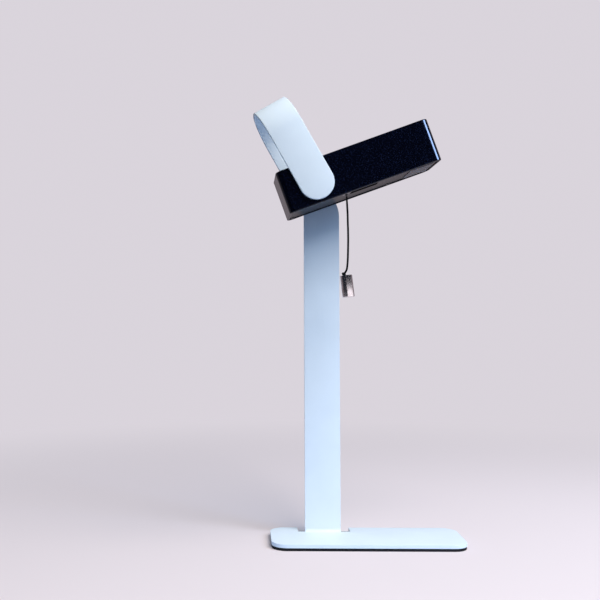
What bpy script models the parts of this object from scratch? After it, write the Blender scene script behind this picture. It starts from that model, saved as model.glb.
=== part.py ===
import math

import bmesh
import bpy
from mathutils import Matrix, Vector
from mathutils.geometry import interpolate_bezier

# General fits
gap = 0.0003
cut_margin = 0.003
weld_distance = 0.00001
screw_merge = 0.00001
half_share = 0.5
full_turn = 2 * math.pi
quarter_turn = math.pi / 2
round_steps = 28
fine_round_steps = 40
corner_steps = 6
bevel_segments = 2
smooth_angle = math.radians(32)
bevel_angle = math.radians(40)

# Base, pad and post, bent from one sheet
base_length = 0.196
base_width = 0.067
base_corner_radius = 0.015
sheet_thickness = 0.0036
sheet_edge_radius = 0.0015
sheet_edge_segments = 3
pad_thickness = 0.0026
pad_inset = 0.0003
post_left = -0.0612
post_width = 0.0374
post_from_rear = 0.0141
bend_radius = 0.0024
bend_steps = 8
left_notch_width = 0.0075
right_notch_width = 0.0099
pivot_x = -0.05383
pivot_height = 0.3643
shoulder_below_pivot = 0.0248
shoulder_radius = 0.030

# Head case
head_tilt = math.radians(19.6)
head_length = 0.1587
head_depth = 0.064
head_height = 0.0433
pivot_from_left_end = 0.0345
pivot_below_middle = 0.0012
head_corner_radius = 0.0055
head_edge_radius = 0.0009
case_wall = 0.002
panel_pocket_depth = 0.0054
panel_rim = 0.004
panel_corner_radius = 0.002
deck_thickness = 0.0018
lead_window_x = 0.0840
lead_window_from_near = 0.0343
lead_window_radius = 0.0030
boss_radius = 0.0030
boss_pilot_radius = 0.0016
boss_pilot_depth = 0.009
boss_inset = 0.0060
boss_from_tray = 0.0046

# Solar panel in the pocket on top
gasket_thickness = 0.0008
backing_thickness = 0.0012
cell_thickness = 0.0004
glass_thickness = 0.0014
cell_margin = 0.0035
cell_gap = 0.0015
cell_count = 4

# Underside cover
cover_recess = 0.0012
cover_thickness = 0.002
cover_fit = 0.0004
socket_pocket_left = 0.0315
socket_pocket_length = 0.0285
socket_pocket_from_near = 0.013
socket_pocket_width = 0.015
socket_pocket_depth = 0.005
socket_pocket_wall = 0.0012
cover_screw_hole_radius = 0.0017
cover_screw_radius = 0.0013
cover_screw_head_radius = 0.0025
cover_screw_head_height = 0.0008
cover_screw_length = 0.009

# Light at the right end
lens_left = 0.0935
lens_length = 0.0255
lens_inset = 0.0105
lens_flange = 0.001
lens_flange_thickness = 0.0012
lens_proud = 0.001
lens_corner_radius = 0.0012
frame_height = 0.0086
frame_wall = 0.0015
led_board_thickness = 0.0016
led_size = 0.0036
led_height = 0.0013
led_spread_x = 0.0120
led_spread_y = 0.0160
led_screw_spread = 0.0340
led_post_radius = 0.0028
small_screw_radius = 0.0010
small_screw_hole_radius = 0.0014
small_screw_head_radius = 0.0019
small_screw_head_height = 0.0011
small_screw_length = 0.0060

# Battery
tray_left = 0.0144
tray_from_switch = 0.0015
tray_wall = 0.0014
tray_depth = 0.0120
battery_radius = 0.0071
battery_length = 0.0500
battery_edge_radius = 0.0008
battery_nub_radius = 0.0026
battery_nub_height = 0.0010
battery_clearance = 0.00045
battery_apart = 0.0011
contact_thickness = 0.0005
contact_height = 0.0100

# Control board and charging socket
board_left = 0.0320
board_length = 0.040
board_from_near = 0.0093
board_width = 0.0265
board_thickness = 0.0012
board_above_cover = 0.0064
board_post_inset = 0.0030
board_post_radius = 0.0023
socket_length = 0.0078
socket_width = 0.0030
socket_height = 0.0040
socket_hole_margin = 0.0006
socket_mouth_wall = 0.0005
socket_mouth_depth = 0.0030

# Pull switch
switch_x = 0.0255
switch_from_near = 0.0120
switch_length = 0.0084
switch_width = 0.0120
switch_height = 0.0160
switch_floor = 0.0022
switch_chamber_radius = 0.0035
switch_bore_radius = 0.0018
switch_cap_thickness = 0.0014
plunger_radius = 0.0012
plunger_collar_radius = 0.0028
plunger_collar_height = 0.0018
plunger_reach = 0.0012
spring_radius = 0.0023
spring_wire_radius = 0.00025
spring_turns = 5
spring_points_per_turn = 10
eyelet_outer_radius = 0.0024
eyelet_hole_radius = 0.0028
eyelet_flange_radius = 0.0038
eyelet_flange_height = 0.0004

# Joint of head, handle and post
washer_thickness = 0.0008
washer_radius = 0.0070
bolt_radius = 0.003
bolt_hole_radius = 0.0033
bolt_head_radius = 0.0050
bolt_head_height = 0.0038
bolt_plate_size = 0.018
bolt_plate_thickness = 0.0015
nut_radius = 0.0056
nut_height = 0.0064
nut_floor = 0.0014
nut_dome_height = 0.0016
nut_sides = 6
nut_dome_share = 0.78
nut_tip_share = 0.34
bolt_crown_share = 0.7
wave_washer_radius = 0.0068
strap_bush_wall = 0.0009
stud_length = 0.0118
near_bush_wall = 0.0014
near_bush_flange_radius = 0.0070
near_bush_flange_height = 0.0010
lock_nut_radius = 0.0058
lock_nut_height = 0.0050

# Handle
handle_swing = math.radians(29.22)
strap_width = 0.035
strap_thickness = 0.0025
strap_edge_radius = 0.0006
strap_flat_length = 0.0615
strap_bend_radius = 0.0339
strap_bend_steps = 14
strap_end_steps = 24

# Routes of the leads and the cord
route_samples = 40
route_handle_share = 1 / 6

# Leads inside
lead_radius = 0.0006
lead_bevel_resolution = 1
lead_point_spacing = 0.0022
lead_clearance = 0.0006
led_lead_share = 0.25
battery_lead_share = 0.5
panel_lead_share = 0.63

# Hanging cord and its weight, measured from the pivot in the plane of the cord
cord_radius = 0.001
cord_bevel_resolution = 2
cord_point_spacing = 0.0026
cord_start_gap = 0.0004
cord_route = (
    (0.03088, -0.01071),
    (0.0312, -0.0166),
    (0.0318, -0.0280),
    (0.0320, -0.0374),
    (0.0323, -0.0539),
    (0.0318, -0.0746),
    (0.0308, -0.0848),
    (0.0295, -0.0875),
)
knot_radius = 0.0019
knot_flat_share = 0.85
weight_top_x = 0.0299
weight_top_z = -0.0910
weight_bottom_x = 0.0324
weight_bottom_z = -0.1127
weight_radius = 0.006
weight_edge_radius = 0.0006
knot_offset = 0.0019

# Levels worked out from the sizes above, in the head's own frame
sheet_bottom = pad_thickness + gap
sheet_top = sheet_bottom + sheet_thickness
post_right = post_left + post_width
post_front = base_width / 2 - post_from_rear
eye_radius = pivot_x - post_left
shoulder_height = pivot_height - shoulder_below_pivot
head_left = -pivot_from_left_end
head_right = head_left + head_length
head_bottom = pivot_below_middle - head_height / 2
head_top = head_bottom + head_height
pocket_floor = head_top - panel_pocket_depth
deck_bottom = pocket_floor - deck_thickness
cover_bottom = head_bottom + cover_recess
cover_top = cover_bottom + cover_thickness

outer_washer_low = gap
far_leg_low = outer_washer_low + washer_thickness + gap
far_leg_high = far_leg_low + strap_thickness
inner_washer_low = far_leg_high + gap
case_far = inner_washer_low + washer_thickness + gap
case_near = case_far + head_depth
near_washer_low = case_near + gap
near_leg_low = near_washer_low + washer_thickness + gap
near_leg_high = near_leg_low + strap_thickness
inside_far = case_far + case_wall
inside_near = case_near - case_wall

# Places across the head, counted from its near or far face
boss_near_y = boss_inset - case_near
boss_far_y = -case_far - boss_inset
lead_window_y = lead_window_from_near - case_near
socket_pocket_near = socket_pocket_from_near - case_near
lens_near = lens_inset - case_near
lens_width = head_depth - 2 * lens_inset
switch_y = switch_from_near - case_near
board_near = board_from_near - case_near
tray_near = switch_y + switch_width / 2 + tray_from_switch

# The tray takes its size from the batteries, and the middle screws stand clear of it
battery_spacing = 2 * battery_radius + battery_apart
tray_width = battery_spacing + 2 * (battery_radius + battery_clearance + tray_wall)
tray_length = battery_length + battery_nub_height + 2 * (tray_wall + contact_thickness + 2 * gap)
left_screws_x = head_left + boss_inset
middle_screws_x = tray_left + tray_length + boss_from_tray + boss_radius
right_screws_x = head_right - boss_inset


def clear_scene():
    for old in list(bpy.data.objects):
        bpy.data.objects.remove(old)


def make_collection(name, hidden):
    collection = bpy.data.collections.new(name)
    bpy.context.scene.collection.children.link(collection)
    collection.hide_render = hidden
    return collection


def make_material(name, colour, roughness, metallic):
    material = bpy.data.materials.new(name)
    material.use_nodes = True
    shader = material.node_tree.nodes["Principled BSDF"]
    shader.inputs["Base Color"].default_value = (*colour, 1)
    shader.inputs["Roughness"].default_value = roughness
    shader.inputs["Metallic"].default_value = metallic
    return material


clear_scene()
lamp = make_collection("solar_table_lamp", False)
cutters = make_collection("cutters", True)

white_paint = ((0.86, 0.89, 0.93), 0.45, 0)
black_plastic = ((0.012, 0.015, 0.024), 0.5, 0)
black_rubber = ((0.015, 0.015, 0.016), 0.85, 0)
bright_steel = ((0.62, 0.62, 0.64), 0.3, 1)
brass = ((0.75, 0.56, 0.28), 0.35, 1)
milky_plastic = ((0.72, 0.74, 0.78), 0.35, 0)
board_green = ((0.03, 0.18, 0.08), 0.5, 0)
cell_blue = ((0.01, 0.02, 0.09), 0.25, 0)
clear_glass = ((0.55, 0.62, 0.68), 0.08, 0)
white_plastic = ((0.85, 0.85, 0.84), 0.4, 0)
lead_red = ((0.6, 0.03, 0.02), 0.5, 0)
cord_black = ((0.014, 0.014, 0.016), 0.7, 0)
weight_chrome = ((0.62, 0.60, 0.58), 0.16, 1)
nylon_grey = ((0.35, 0.36, 0.38), 0.5, 0)
foam_grey = ((0.10, 0.10, 0.11), 0.9, 0)

pivot = Vector((pivot_x, post_front, pivot_height))
upright = Matrix.Rotation(quarter_turn, 4, "X")
lying = Matrix.Rotation(quarter_turn, 4, "Y")
world_frame = Matrix.Identity(4)
head_frame = Matrix.Translation(pivot) @ Matrix.Rotation(-head_tilt, 4, "Y")
handle_frame = Matrix.Translation(pivot) @ Matrix.Rotation(-handle_swing, 4, "Y")
stand_axle = Matrix.Translation(pivot) @ upright
head_axle = head_frame @ upright
handle_axle = handle_frame @ upright


def finish(obj, look):
    lamp.objects.link(obj)
    material = make_material(obj.name + "_look", *look)
    obj.data.materials.clear()
    obj.data.materials.append(material)
    if obj.type == "MESH":
        for face in obj.data.polygons:
            face.use_smooth = True
        obj.data.set_sharp_from_angle(angle=smooth_angle)
    return obj


def hide_cutter(obj):
    cutters.objects.link(obj)
    obj.hide_render = True
    obj.display_type = "WIRE"
    return obj


def bevel(obj, width, segments=bevel_segments):
    modifier = obj.modifiers.new("Edges", "BEVEL")
    modifier.width = width
    modifier.segments = segments
    modifier.limit_method = "ANGLE"
    modifier.angle_limit = bevel_angle
    modifier.harden_normals = False


def combine(obj, other, operation):
    modifier = obj.modifiers.new(operation.title(), "BOOLEAN")
    modifier.operation = operation
    modifier.solver = "EXACT"
    modifier.object = hide_cutter(other)


def cut(obj, *others):
    for other in others:
        combine(obj, other, "DIFFERENCE")


def join(obj, *others):
    for other in others:
        combine(obj, other, "UNION")


def circle_points(x, y, radius, steps):
    angles = [full_turn * step / steps for step in range(steps)]
    return [(x + radius * math.cos(angle), y + radius * math.sin(angle)) for angle in angles]


def arc_points(x, y, radius, start, end, steps):
    angles = [start + (end - start) * step / steps for step in range(steps + 1)]
    return [(x + radius * math.cos(angle), y + radius * math.sin(angle)) for angle in angles]


def rounded_box_points(left, right, low, high, radius):
    corners = (
        (right - radius, low + radius, -quarter_turn),
        (right - radius, high - radius, 0),
        (left + radius, high - radius, quarter_turn),
        (left + radius, low + radius, math.pi),
    )
    points = []
    for x, y, start in corners:
        points += arc_points(x, y, radius, start, start + quarter_turn, corner_steps)
    return points


def box_points(left, right, low, high):
    return [(left, low), (right, low), (right, high), (left, high)]


def prism(name, points, low, high, frame):
    mesh = bpy.data.meshes.new(name)
    shape = bmesh.new()
    corners = [shape.verts.new((x, y, low)) for x, y in points]
    face = shape.faces.new(corners)
    grown = bmesh.ops.extrude_face_region(shape, geom=[face])["geom"]
    lifted = [item for item in grown if isinstance(item, bmesh.types.BMVert)]
    bmesh.ops.translate(shape, verts=lifted, vec=(0, 0, high - low))
    bmesh.ops.recalc_face_normals(shape, faces=shape.faces)
    shape.to_mesh(mesh)
    shape.free()
    obj = bpy.data.objects.new(name, mesh)
    obj.matrix_world = frame
    return obj


def lathe(name, profile, steps, frame, closed=True):
    mesh = bpy.data.meshes.new(name)
    count = len(profile)
    edges = [(index, index + 1) for index in range(count - 1)]
    if closed:
        edges.append((count - 1, 0))
    mesh.from_pydata([(radius, 0, height) for radius, height in profile], edges, [])
    obj = bpy.data.objects.new(name, mesh)
    obj.matrix_world = frame
    turn = obj.modifiers.new("Turn", "SCREW")
    turn.axis = "Z"
    turn.steps = steps
    turn.render_steps = steps
    turn.use_merge_vertices = True
    turn.merge_threshold = screw_merge
    turn.use_smooth_shade = True
    return obj


def ring(name, inner, outer, low, high, frame, steps=round_steps):
    profile = ((outer, high), (outer, low), (inner, low), (inner, high))
    return lathe(name, profile, steps, frame)


def rod(name, radius, low, high, frame, steps=round_steps):
    profile = ((0, high), (radius, high), (radius, low), (0, low))
    return lathe(name, profile, steps, frame, closed=False)


def turned(name, profile, frame, steps=round_steps):
    return lathe(name, profile, steps, frame, closed=False)


def tapped_post(name, radius, bore, root, tip, bore_end, frame):
    # A post from root to tip, with a blind screw hole from its tip to bore_end
    profile = [(0, root), (radius, root), (radius, tip), (bore, tip), (bore, bore_end), (0, bore_end)]
    if tip > root:
        profile.reverse()
    return turned(name, profile, frame)


def hexagon(name, radius, low, high, frame):
    return prism(name, circle_points(0, 0, radius, nut_sides), low, high, frame)


def folded_sheet(name, polygons, thickness, frame):
    mesh = bpy.data.meshes.new(name)
    shape = bmesh.new()
    for polygon in polygons:
        shape.faces.new([shape.verts.new(point) for point in polygon])
    bmesh.ops.remove_doubles(shape, verts=shape.verts, dist=weld_distance)
    bmesh.ops.recalc_face_normals(shape, faces=shape.faces)
    shape.to_mesh(mesh)
    shape.free()
    obj = bpy.data.objects.new(name, mesh)
    obj.matrix_world = frame
    solid = obj.modifiers.new("Sheet", "SOLIDIFY")
    solid.thickness = thickness
    solid.offset = 0
    solid.use_even_offset = True
    return obj


def smooth_route(points, spacing):
    # Points along a smooth curve through the given ones, evenly spaced
    ends = [points[0] * 2 - points[1], *points, points[-1] * 2 - points[-2]]
    dense = []
    for before, start, stop, after in zip(ends, ends[1:], ends[2:], ends[3:]):
        leaving = start + (stop - before) * route_handle_share
        arriving = stop - (after - start) * route_handle_share
        dense += interpolate_bezier(start, leaving, arriving, stop, route_samples)[:-1]
    dense.append(points[-1])
    travelled = [0]
    for first, second in zip(dense, dense[1:]):
        travelled.append(travelled[-1] + (second - first).length)
    count = max(2, round(travelled[-1] / spacing))
    route = []
    index = 0
    for step in range(count + 1):
        wanted = travelled[-1] * step / count
        while index < len(dense) - 2 and travelled[index + 1] < wanted:
            index += 1
        span = travelled[index + 1] - travelled[index]
        route.append(dense[index].lerp(dense[index + 1], (wanted - travelled[index]) / span))
    return route


def tube(name, route, radius, resolution, frame):
    curve = bpy.data.curves.new(name, "CURVE")
    curve.dimensions = "3D"
    curve.bevel_depth = radius
    curve.bevel_resolution = resolution
    curve.use_fill_caps = True
    spline = curve.splines.new("POLY")
    spline.points.add(len(route) - 1)
    for point, place in zip(spline.points, route):
        point.co = (*place, 1)
    spline.use_smooth = True
    obj = bpy.data.objects.new(name, curve)
    obj.matrix_world = frame
    return obj


# Stand
def make_stand():
    rear = base_width / 2
    side = base_length / 2
    floor_y = post_front - bend_radius
    middle = sheet_bottom + sheet_thickness / 2
    middle_radius = bend_radius + sheet_thickness / 2
    notch_left = post_left - left_notch_width
    notch_right = post_right + right_notch_width
    outline = rounded_box_points(-side, side, -rear, rear, base_corner_radius)
    right_rear = len(outline) // 2
    slot = [
        (notch_right, rear),
        (notch_right, floor_y),
        (post_right, floor_y),
        (post_left, floor_y),
        (notch_left, floor_y),
        (notch_left, rear),
    ]
    outline = outline[:right_rear] + slot + outline[right_rear:]
    polygons = [[(x, y, middle) for x, y in outline]]
    bend = []
    for step in range(bend_steps + 1):
        angle = quarter_turn * step / bend_steps
        reach = middle_radius * math.sin(angle)
        rise = middle_radius * (1 - math.cos(angle))
        bend.append((floor_y + reach, middle + rise))
    for (y, z), (next_y, next_z) in zip(bend, bend[1:]):
        polygons.append(
            [(post_left, y, z), (post_right, y, z), (post_right, next_y, next_z), (post_left, next_y, next_z)]
        )
    post_y, foot_z = bend[-1]
    # The shoulder arc and the eye share an outer tangent line
    shoulder_x = post_right - shoulder_radius
    reach_x = pivot_x - shoulder_x
    reach_z = pivot_height - shoulder_height
    apart = math.hypot(reach_x, reach_z)
    tangent = math.atan2(reach_z, reach_x) - math.acos((shoulder_radius - eye_radius) / apart)
    upper = arc_points(shoulder_x, shoulder_height, shoulder_radius, 0, tangent, corner_steps)
    upper += arc_points(pivot_x, pivot_height, eye_radius, tangent, math.pi, 2 * corner_steps)
    edge = [(post_right, foot_z)] + upper + [(post_left, foot_z)]
    polygons.append([(x, post_y, z) for x, z in edge])
    sheet = folded_sheet("stand_sheet", polygons, sheet_thickness, world_frame)
    bevel(sheet, sheet_edge_radius, sheet_edge_segments)
    cut(sheet, rod("stand_eye_cut", bolt_hole_radius, -sheet_thickness - cut_margin, cut_margin, stand_axle))
    finish(sheet, white_paint)

    pad_points = rounded_box_points(
        pad_inset - side, side - pad_inset, pad_inset - rear, rear - pad_inset, base_corner_radius - pad_inset
    )
    finish(prism("base_pad", pad_points, 0, pad_thickness, world_frame), black_rubber)


def cover_screw_seats():
    return [
        head_frame @ Matrix.Translation((x, y, 0))
        for x in (left_screws_x, middle_screws_x, right_screws_x)
        for y in (boss_near_y, boss_far_y)
    ]


# Head case with its bosses, pocket and bores
def make_case():
    outline = rounded_box_points(head_left, head_right, -case_near, -case_far, head_corner_radius)
    case = prism("head_case", outline, head_bottom, head_top, head_frame)
    bevel(case, head_edge_radius)
    inside = rounded_box_points(
        head_left + case_wall,
        head_right - case_wall,
        -inside_near,
        -inside_far,
        head_corner_radius - case_wall,
    )
    pocket = rounded_box_points(
        head_left + panel_rim,
        head_right - panel_rim,
        panel_rim - case_near,
        -case_far - panel_rim,
        panel_corner_radius,
    )
    cut(
        case,
        prism("case_hollow", inside, head_bottom - cut_margin, deck_bottom, head_frame),
        prism("panel_pocket", pocket, pocket_floor, head_top + cut_margin, head_frame),
    )
    root = deck_bottom + deck_thickness / 2
    boss_low = cover_top + gap
    boss = (boss_radius, boss_pilot_radius, root, boss_low, boss_low + boss_pilot_depth)
    for seat in cover_screw_seats():
        join(case, tapped_post("case_boss", *boss, seat))
    post_low = led_board_low() + led_board_thickness + gap
    post = (led_post_radius, small_screw_hole_radius, root, post_low, post_low + small_screw_length)
    for seat in led_screw_seats():
        join(case, tapped_post("led_post", *post, seat))
    far_bore = rod("far_bore", bolt_hole_radius, case_far - cut_margin, inside_far + cut_margin, head_axle)
    near_hole = bolt_hole_radius + near_bush_wall + gap
    near_bore = rod("near_bore", near_hole, inside_near - cut_margin, case_near + cut_margin, head_axle)
    window_seat = head_frame @ Matrix.Translation((lead_window_x, lead_window_y, 0))
    window_low = deck_bottom - cut_margin
    window = rod("lead_window", lead_window_radius, window_low, pocket_floor + cut_margin, window_seat)
    cut(case, far_bore, near_bore, window)
    finish(case, black_plastic)


def make_panel():
    left = head_left + panel_rim + gap
    right = head_right - panel_rim - gap
    near = panel_rim + gap - case_near
    far = -case_far - panel_rim - gap
    outline = rounded_box_points(left, right, near, far, panel_corner_radius - gap)
    window_seat = head_frame @ Matrix.Translation((lead_window_x, lead_window_y, 0))
    low = pocket_floor + gap
    gasket = prism("panel_gasket", outline, low, low + gasket_thickness, head_frame)
    cut(gasket, rod("gasket_hole", lead_window_radius, low - gap, low + gasket_thickness + gap, window_seat))
    finish(gasket, foam_grey)
    low += gasket_thickness + gap
    finish(prism("panel_backing", outline, low, low + backing_thickness, head_frame), white_plastic)
    low += backing_thickness + gap
    cell_left = left + cell_margin
    pitch = (right - cell_margin - cell_left + cell_gap) / cell_count
    for index in range(cell_count):
        start = cell_left + pitch * index
        points = box_points(start, start + pitch - cell_gap, near + cell_margin, far - cell_margin)
        cell = prism(f"solar_cell_{index + 1}", points, low, low + cell_thickness, head_frame)
        finish(cell, cell_blue)
    low += cell_thickness + gap
    glass = prism("solar_glass", outline, low, low + glass_thickness, head_frame)
    finish(glass, clear_glass)


def board_low():
    return cover_top + board_above_cover


def board_post_seats():
    y = board_near + board_width - board_post_inset
    ends = (board_left + board_post_inset, board_left + board_length - board_post_inset)
    return [head_frame @ Matrix.Translation((x, y, 0)) for x in ends]


def socket_centre():
    x = socket_pocket_left + socket_pocket_length / 2
    y = socket_pocket_near + socket_pocket_width / 2
    return x, y


# Underside cover with the socket pocket, the lens window and the cord hole
def make_cover():
    left = head_left + case_wall + cover_fit
    right = head_right - case_wall - cover_fit
    near = case_wall + cover_fit - case_near
    far = -case_far - case_wall - cover_fit
    radius = head_corner_radius - case_wall - cover_fit
    outline = rounded_box_points(left, right, near, far, radius)
    cover = prism("bottom_cover", outline, cover_bottom, cover_top, head_frame)
    inner = (
        socket_pocket_left,
        socket_pocket_left + socket_pocket_length,
        socket_pocket_near,
        socket_pocket_near + socket_pocket_width,
    )
    wall = socket_pocket_wall
    outer = (inner[0] - wall, inner[1] + wall, inner[2] - wall, inner[3] + wall)
    roof = cover_bottom + socket_pocket_depth
    housing_low = cover_bottom + cover_thickness / 2
    join(cover, prism("pocket_housing", box_points(*outer), housing_low, roof + wall, head_frame))
    post_high = board_low() - gap
    bore_low = post_high - small_screw_length
    post = (board_post_radius, small_screw_hole_radius, housing_low, post_high, bore_low)
    for seat in board_post_seats():
        join(cover, tapped_post("board_post", *post, seat))
    cut(cover, prism("pocket_cut", box_points(*inner), cover_bottom - cut_margin, roof, head_frame))
    x, y = socket_centre()
    half_x = socket_length / 2 + socket_hole_margin
    half_y = socket_width / 2 + socket_hole_margin
    mouth = box_points(x - half_x, x + half_x, y - half_y, y + half_y)
    cut(cover, prism("socket_cut", mouth, roof - cut_margin, roof + wall + cut_margin, head_frame))
    window = rounded_box_points(
        lens_left - gap,
        lens_left + lens_length + gap,
        lens_near - gap,
        lens_near + lens_width + gap,
        lens_corner_radius + gap,
    )
    cut(cover, prism("window_cut", window, cover_bottom - cut_margin, cover_top + cut_margin, head_frame))
    switch_seat = head_frame @ Matrix.Translation((switch_x, switch_y, 0))
    hole_span = (cover_bottom - cut_margin, cover_top + cut_margin)
    cut(cover, rod("eyelet_cut", eyelet_hole_radius, *hole_span, switch_seat))
    for seat in cover_screw_seats():
        cut(cover, rod("cover_screw_cut", cover_screw_hole_radius, *hole_span, seat))
    finish(cover, black_plastic)


def screw(name, seat, head_radius, head_height, radius, length, face, direction):
    # The head lies against face; the shank runs the other way by length
    side = face - direction * gap
    profile = [
        (0, side - direction * head_height),
        (head_radius, side - direction * head_height),
        (head_radius, side),
        (radius, side),
        (radius, side + direction * length),
        (0, side + direction * length),
    ]
    if direction > 0:
        profile.reverse()
    finish(turned(name, profile, seat), bright_steel)


def make_cover_screws():
    sizes = (cover_screw_head_radius, cover_screw_head_height, cover_screw_radius, cover_screw_length)
    for index, seat in enumerate(cover_screw_seats()):
        screw(f"cover_screw_{index + 1}", seat, *sizes, cover_bottom, 1)


def lens_flange_low():
    return cover_top + gap


def led_frame_low():
    return lens_flange_low() + lens_flange_thickness + gap


def led_board_low():
    return led_frame_low() + frame_height + gap


def led_screw_seats():
    x = lens_left + lens_length / 2
    middle_y = lens_near + lens_width / 2
    half = led_screw_spread / 2
    return [head_frame @ Matrix.Translation((x, y, 0)) for y in (middle_y - half, middle_y + half)]


def make_light():
    right = lens_left + lens_length
    far = lens_near + lens_width
    body = rounded_box_points(lens_left, right, lens_near, far, lens_corner_radius)
    flange = box_points(
        lens_left - lens_flange, right + lens_flange, lens_near - lens_flange, far + lens_flange
    )
    flange_high = lens_flange_low() + lens_flange_thickness
    lens = prism("led_lens", flange, lens_flange_low(), flange_high, head_frame)
    body_high = lens_flange_low() + lens_flange_thickness / 2
    join(lens, prism("lens_body", body, cover_bottom - lens_proud, body_high, head_frame))
    finish(lens, milky_plastic)

    low = led_frame_low()
    frame = prism("led_frame", flange, low, low + frame_height, head_frame)
    inset = frame_wall - lens_flange
    opening = box_points(lens_left + inset, right - inset, lens_near + inset, far - inset)
    cut(frame, prism("frame_cut", opening, low - cut_margin, low + frame_height + cut_margin, head_frame))
    finish(frame, white_plastic)

    board = prism("led_board", flange, led_board_low(), led_board_low() + led_board_thickness, head_frame)
    number = 1
    for seat in led_screw_seats():
        span = (led_board_low() - cut_margin, led_board_low() + led_board_thickness + cut_margin)
        cut(board, rod("led_board_hole", small_screw_hole_radius, *span, seat))
        sizes = (small_screw_head_radius, small_screw_head_height, small_screw_radius, small_screw_length)
        screw(f"led_screw_{number}", seat, *sizes, led_board_low(), 1)
        number += 1
    finish(board, board_green)

    middle_x = lens_left + lens_length / 2
    middle_y = lens_near + lens_width / 2
    half = led_size / 2
    high = led_board_low() - gap
    number = 1
    for across in (-half_share, half_share):
        for along in (-half_share, half_share):
            x = middle_x + across * led_spread_x
            y = middle_y + along * led_spread_y
            points = box_points(x - half, x + half, y - half, y + half)
            led = prism(f"led_{number}", points, high - led_height, high, head_frame)
            finish(led, milky_plastic)
            number += 1


def battery_centres():
    middle = tray_near + tray_width / 2
    height = deck_bottom - gap - tray_wall - gap - battery_radius
    half = battery_spacing / 2
    return [(middle - half, height), (middle + half, height)]


def make_battery():
    right = tray_left + tray_length
    far = tray_near + tray_width
    high = deck_bottom - gap
    tray = prism("battery_tray", box_points(tray_left, right, tray_near, far), high - tray_depth, high, head_frame)
    inner = box_points(tray_left + tray_wall, right - tray_wall, tray_near + tray_wall, far - tray_wall)
    hollow = prism("tray_cut", inner, high - tray_depth - cut_margin, high - tray_wall, head_frame)
    cut(tray, hollow)
    finish(tray, black_plastic)

    inside_left = tray_left + tray_wall + gap
    inside_right = right - tray_wall - gap
    contact_high = high - tray_wall - gap
    for name, start in (
        ("contact_plate_1", inside_left),
        ("contact_plate_2", inside_right - contact_thickness),
    ):
        reach = contact_height / 2
        points = box_points(
            start, start + contact_thickness, tray_near + tray_wall + reach, far - tray_wall - reach
        )
        plate = prism(name, points, contact_high - contact_height, contact_high, head_frame)
        finish(plate, brass)

    start = inside_left + contact_thickness + gap
    for index, (y, z) in enumerate(battery_centres()):
        seat = head_frame @ Matrix.Translation((start, y, z)) @ lying
        edge = battery_edge_radius
        profile = [
            (0, battery_length + battery_nub_height),
            (battery_nub_radius, battery_length + battery_nub_height),
            (battery_nub_radius, battery_length),
            (battery_radius - edge, battery_length),
            (battery_radius, battery_length - edge),
            (battery_radius, edge),
            (battery_radius - edge, 0),
            (0, 0),
        ]
        finish(turned(f"battery_cell_{index + 1}", profile, seat, fine_round_steps), nylon_grey)


def make_control_board():
    right = board_left + board_length
    far = board_near + board_width
    low = board_low()
    points = box_points(board_left, right, board_near, far)
    board = prism("control_board", points, low, low + board_thickness, head_frame)
    number = 1
    for seat in board_post_seats():
        span = (low - cut_margin, low + board_thickness + cut_margin)
        cut(board, rod("board_hole", small_screw_hole_radius, *span, seat))
        sizes = (small_screw_head_radius, small_screw_head_height, small_screw_radius)
        length = small_screw_length - gap
        screw(f"board_screw_{number}", seat, *sizes, length, low + board_thickness, -1)
        number += 1
    finish(board, board_green)

    x, y = socket_centre()
    half_x = socket_length / 2
    half_y = socket_width / 2
    high = low - gap
    outer = box_points(x - half_x, x + half_x, y - half_y, y + half_y)
    socket = prism("usb_socket", outer, high - socket_height, high, head_frame)
    wall = socket_mouth_wall
    inner = box_points(x - half_x + wall, x + half_x - wall, y - half_y + wall, y + half_y - wall)
    mouth_low = high - socket_height - cut_margin
    mouth_high = high - socket_height + socket_mouth_depth
    cut(socket, prism("mouth_cut", inner, mouth_low, mouth_high, head_frame))
    finish(socket, bright_steel)


switch_frame = head_frame @ Matrix.Translation((switch_x, switch_y, 0))
switch_low = cover_top + gap
switch_high = switch_low + switch_height
chamber_low = switch_low + switch_floor
collar_high = switch_high - gap
collar_low = collar_high - plunger_collar_height


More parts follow.
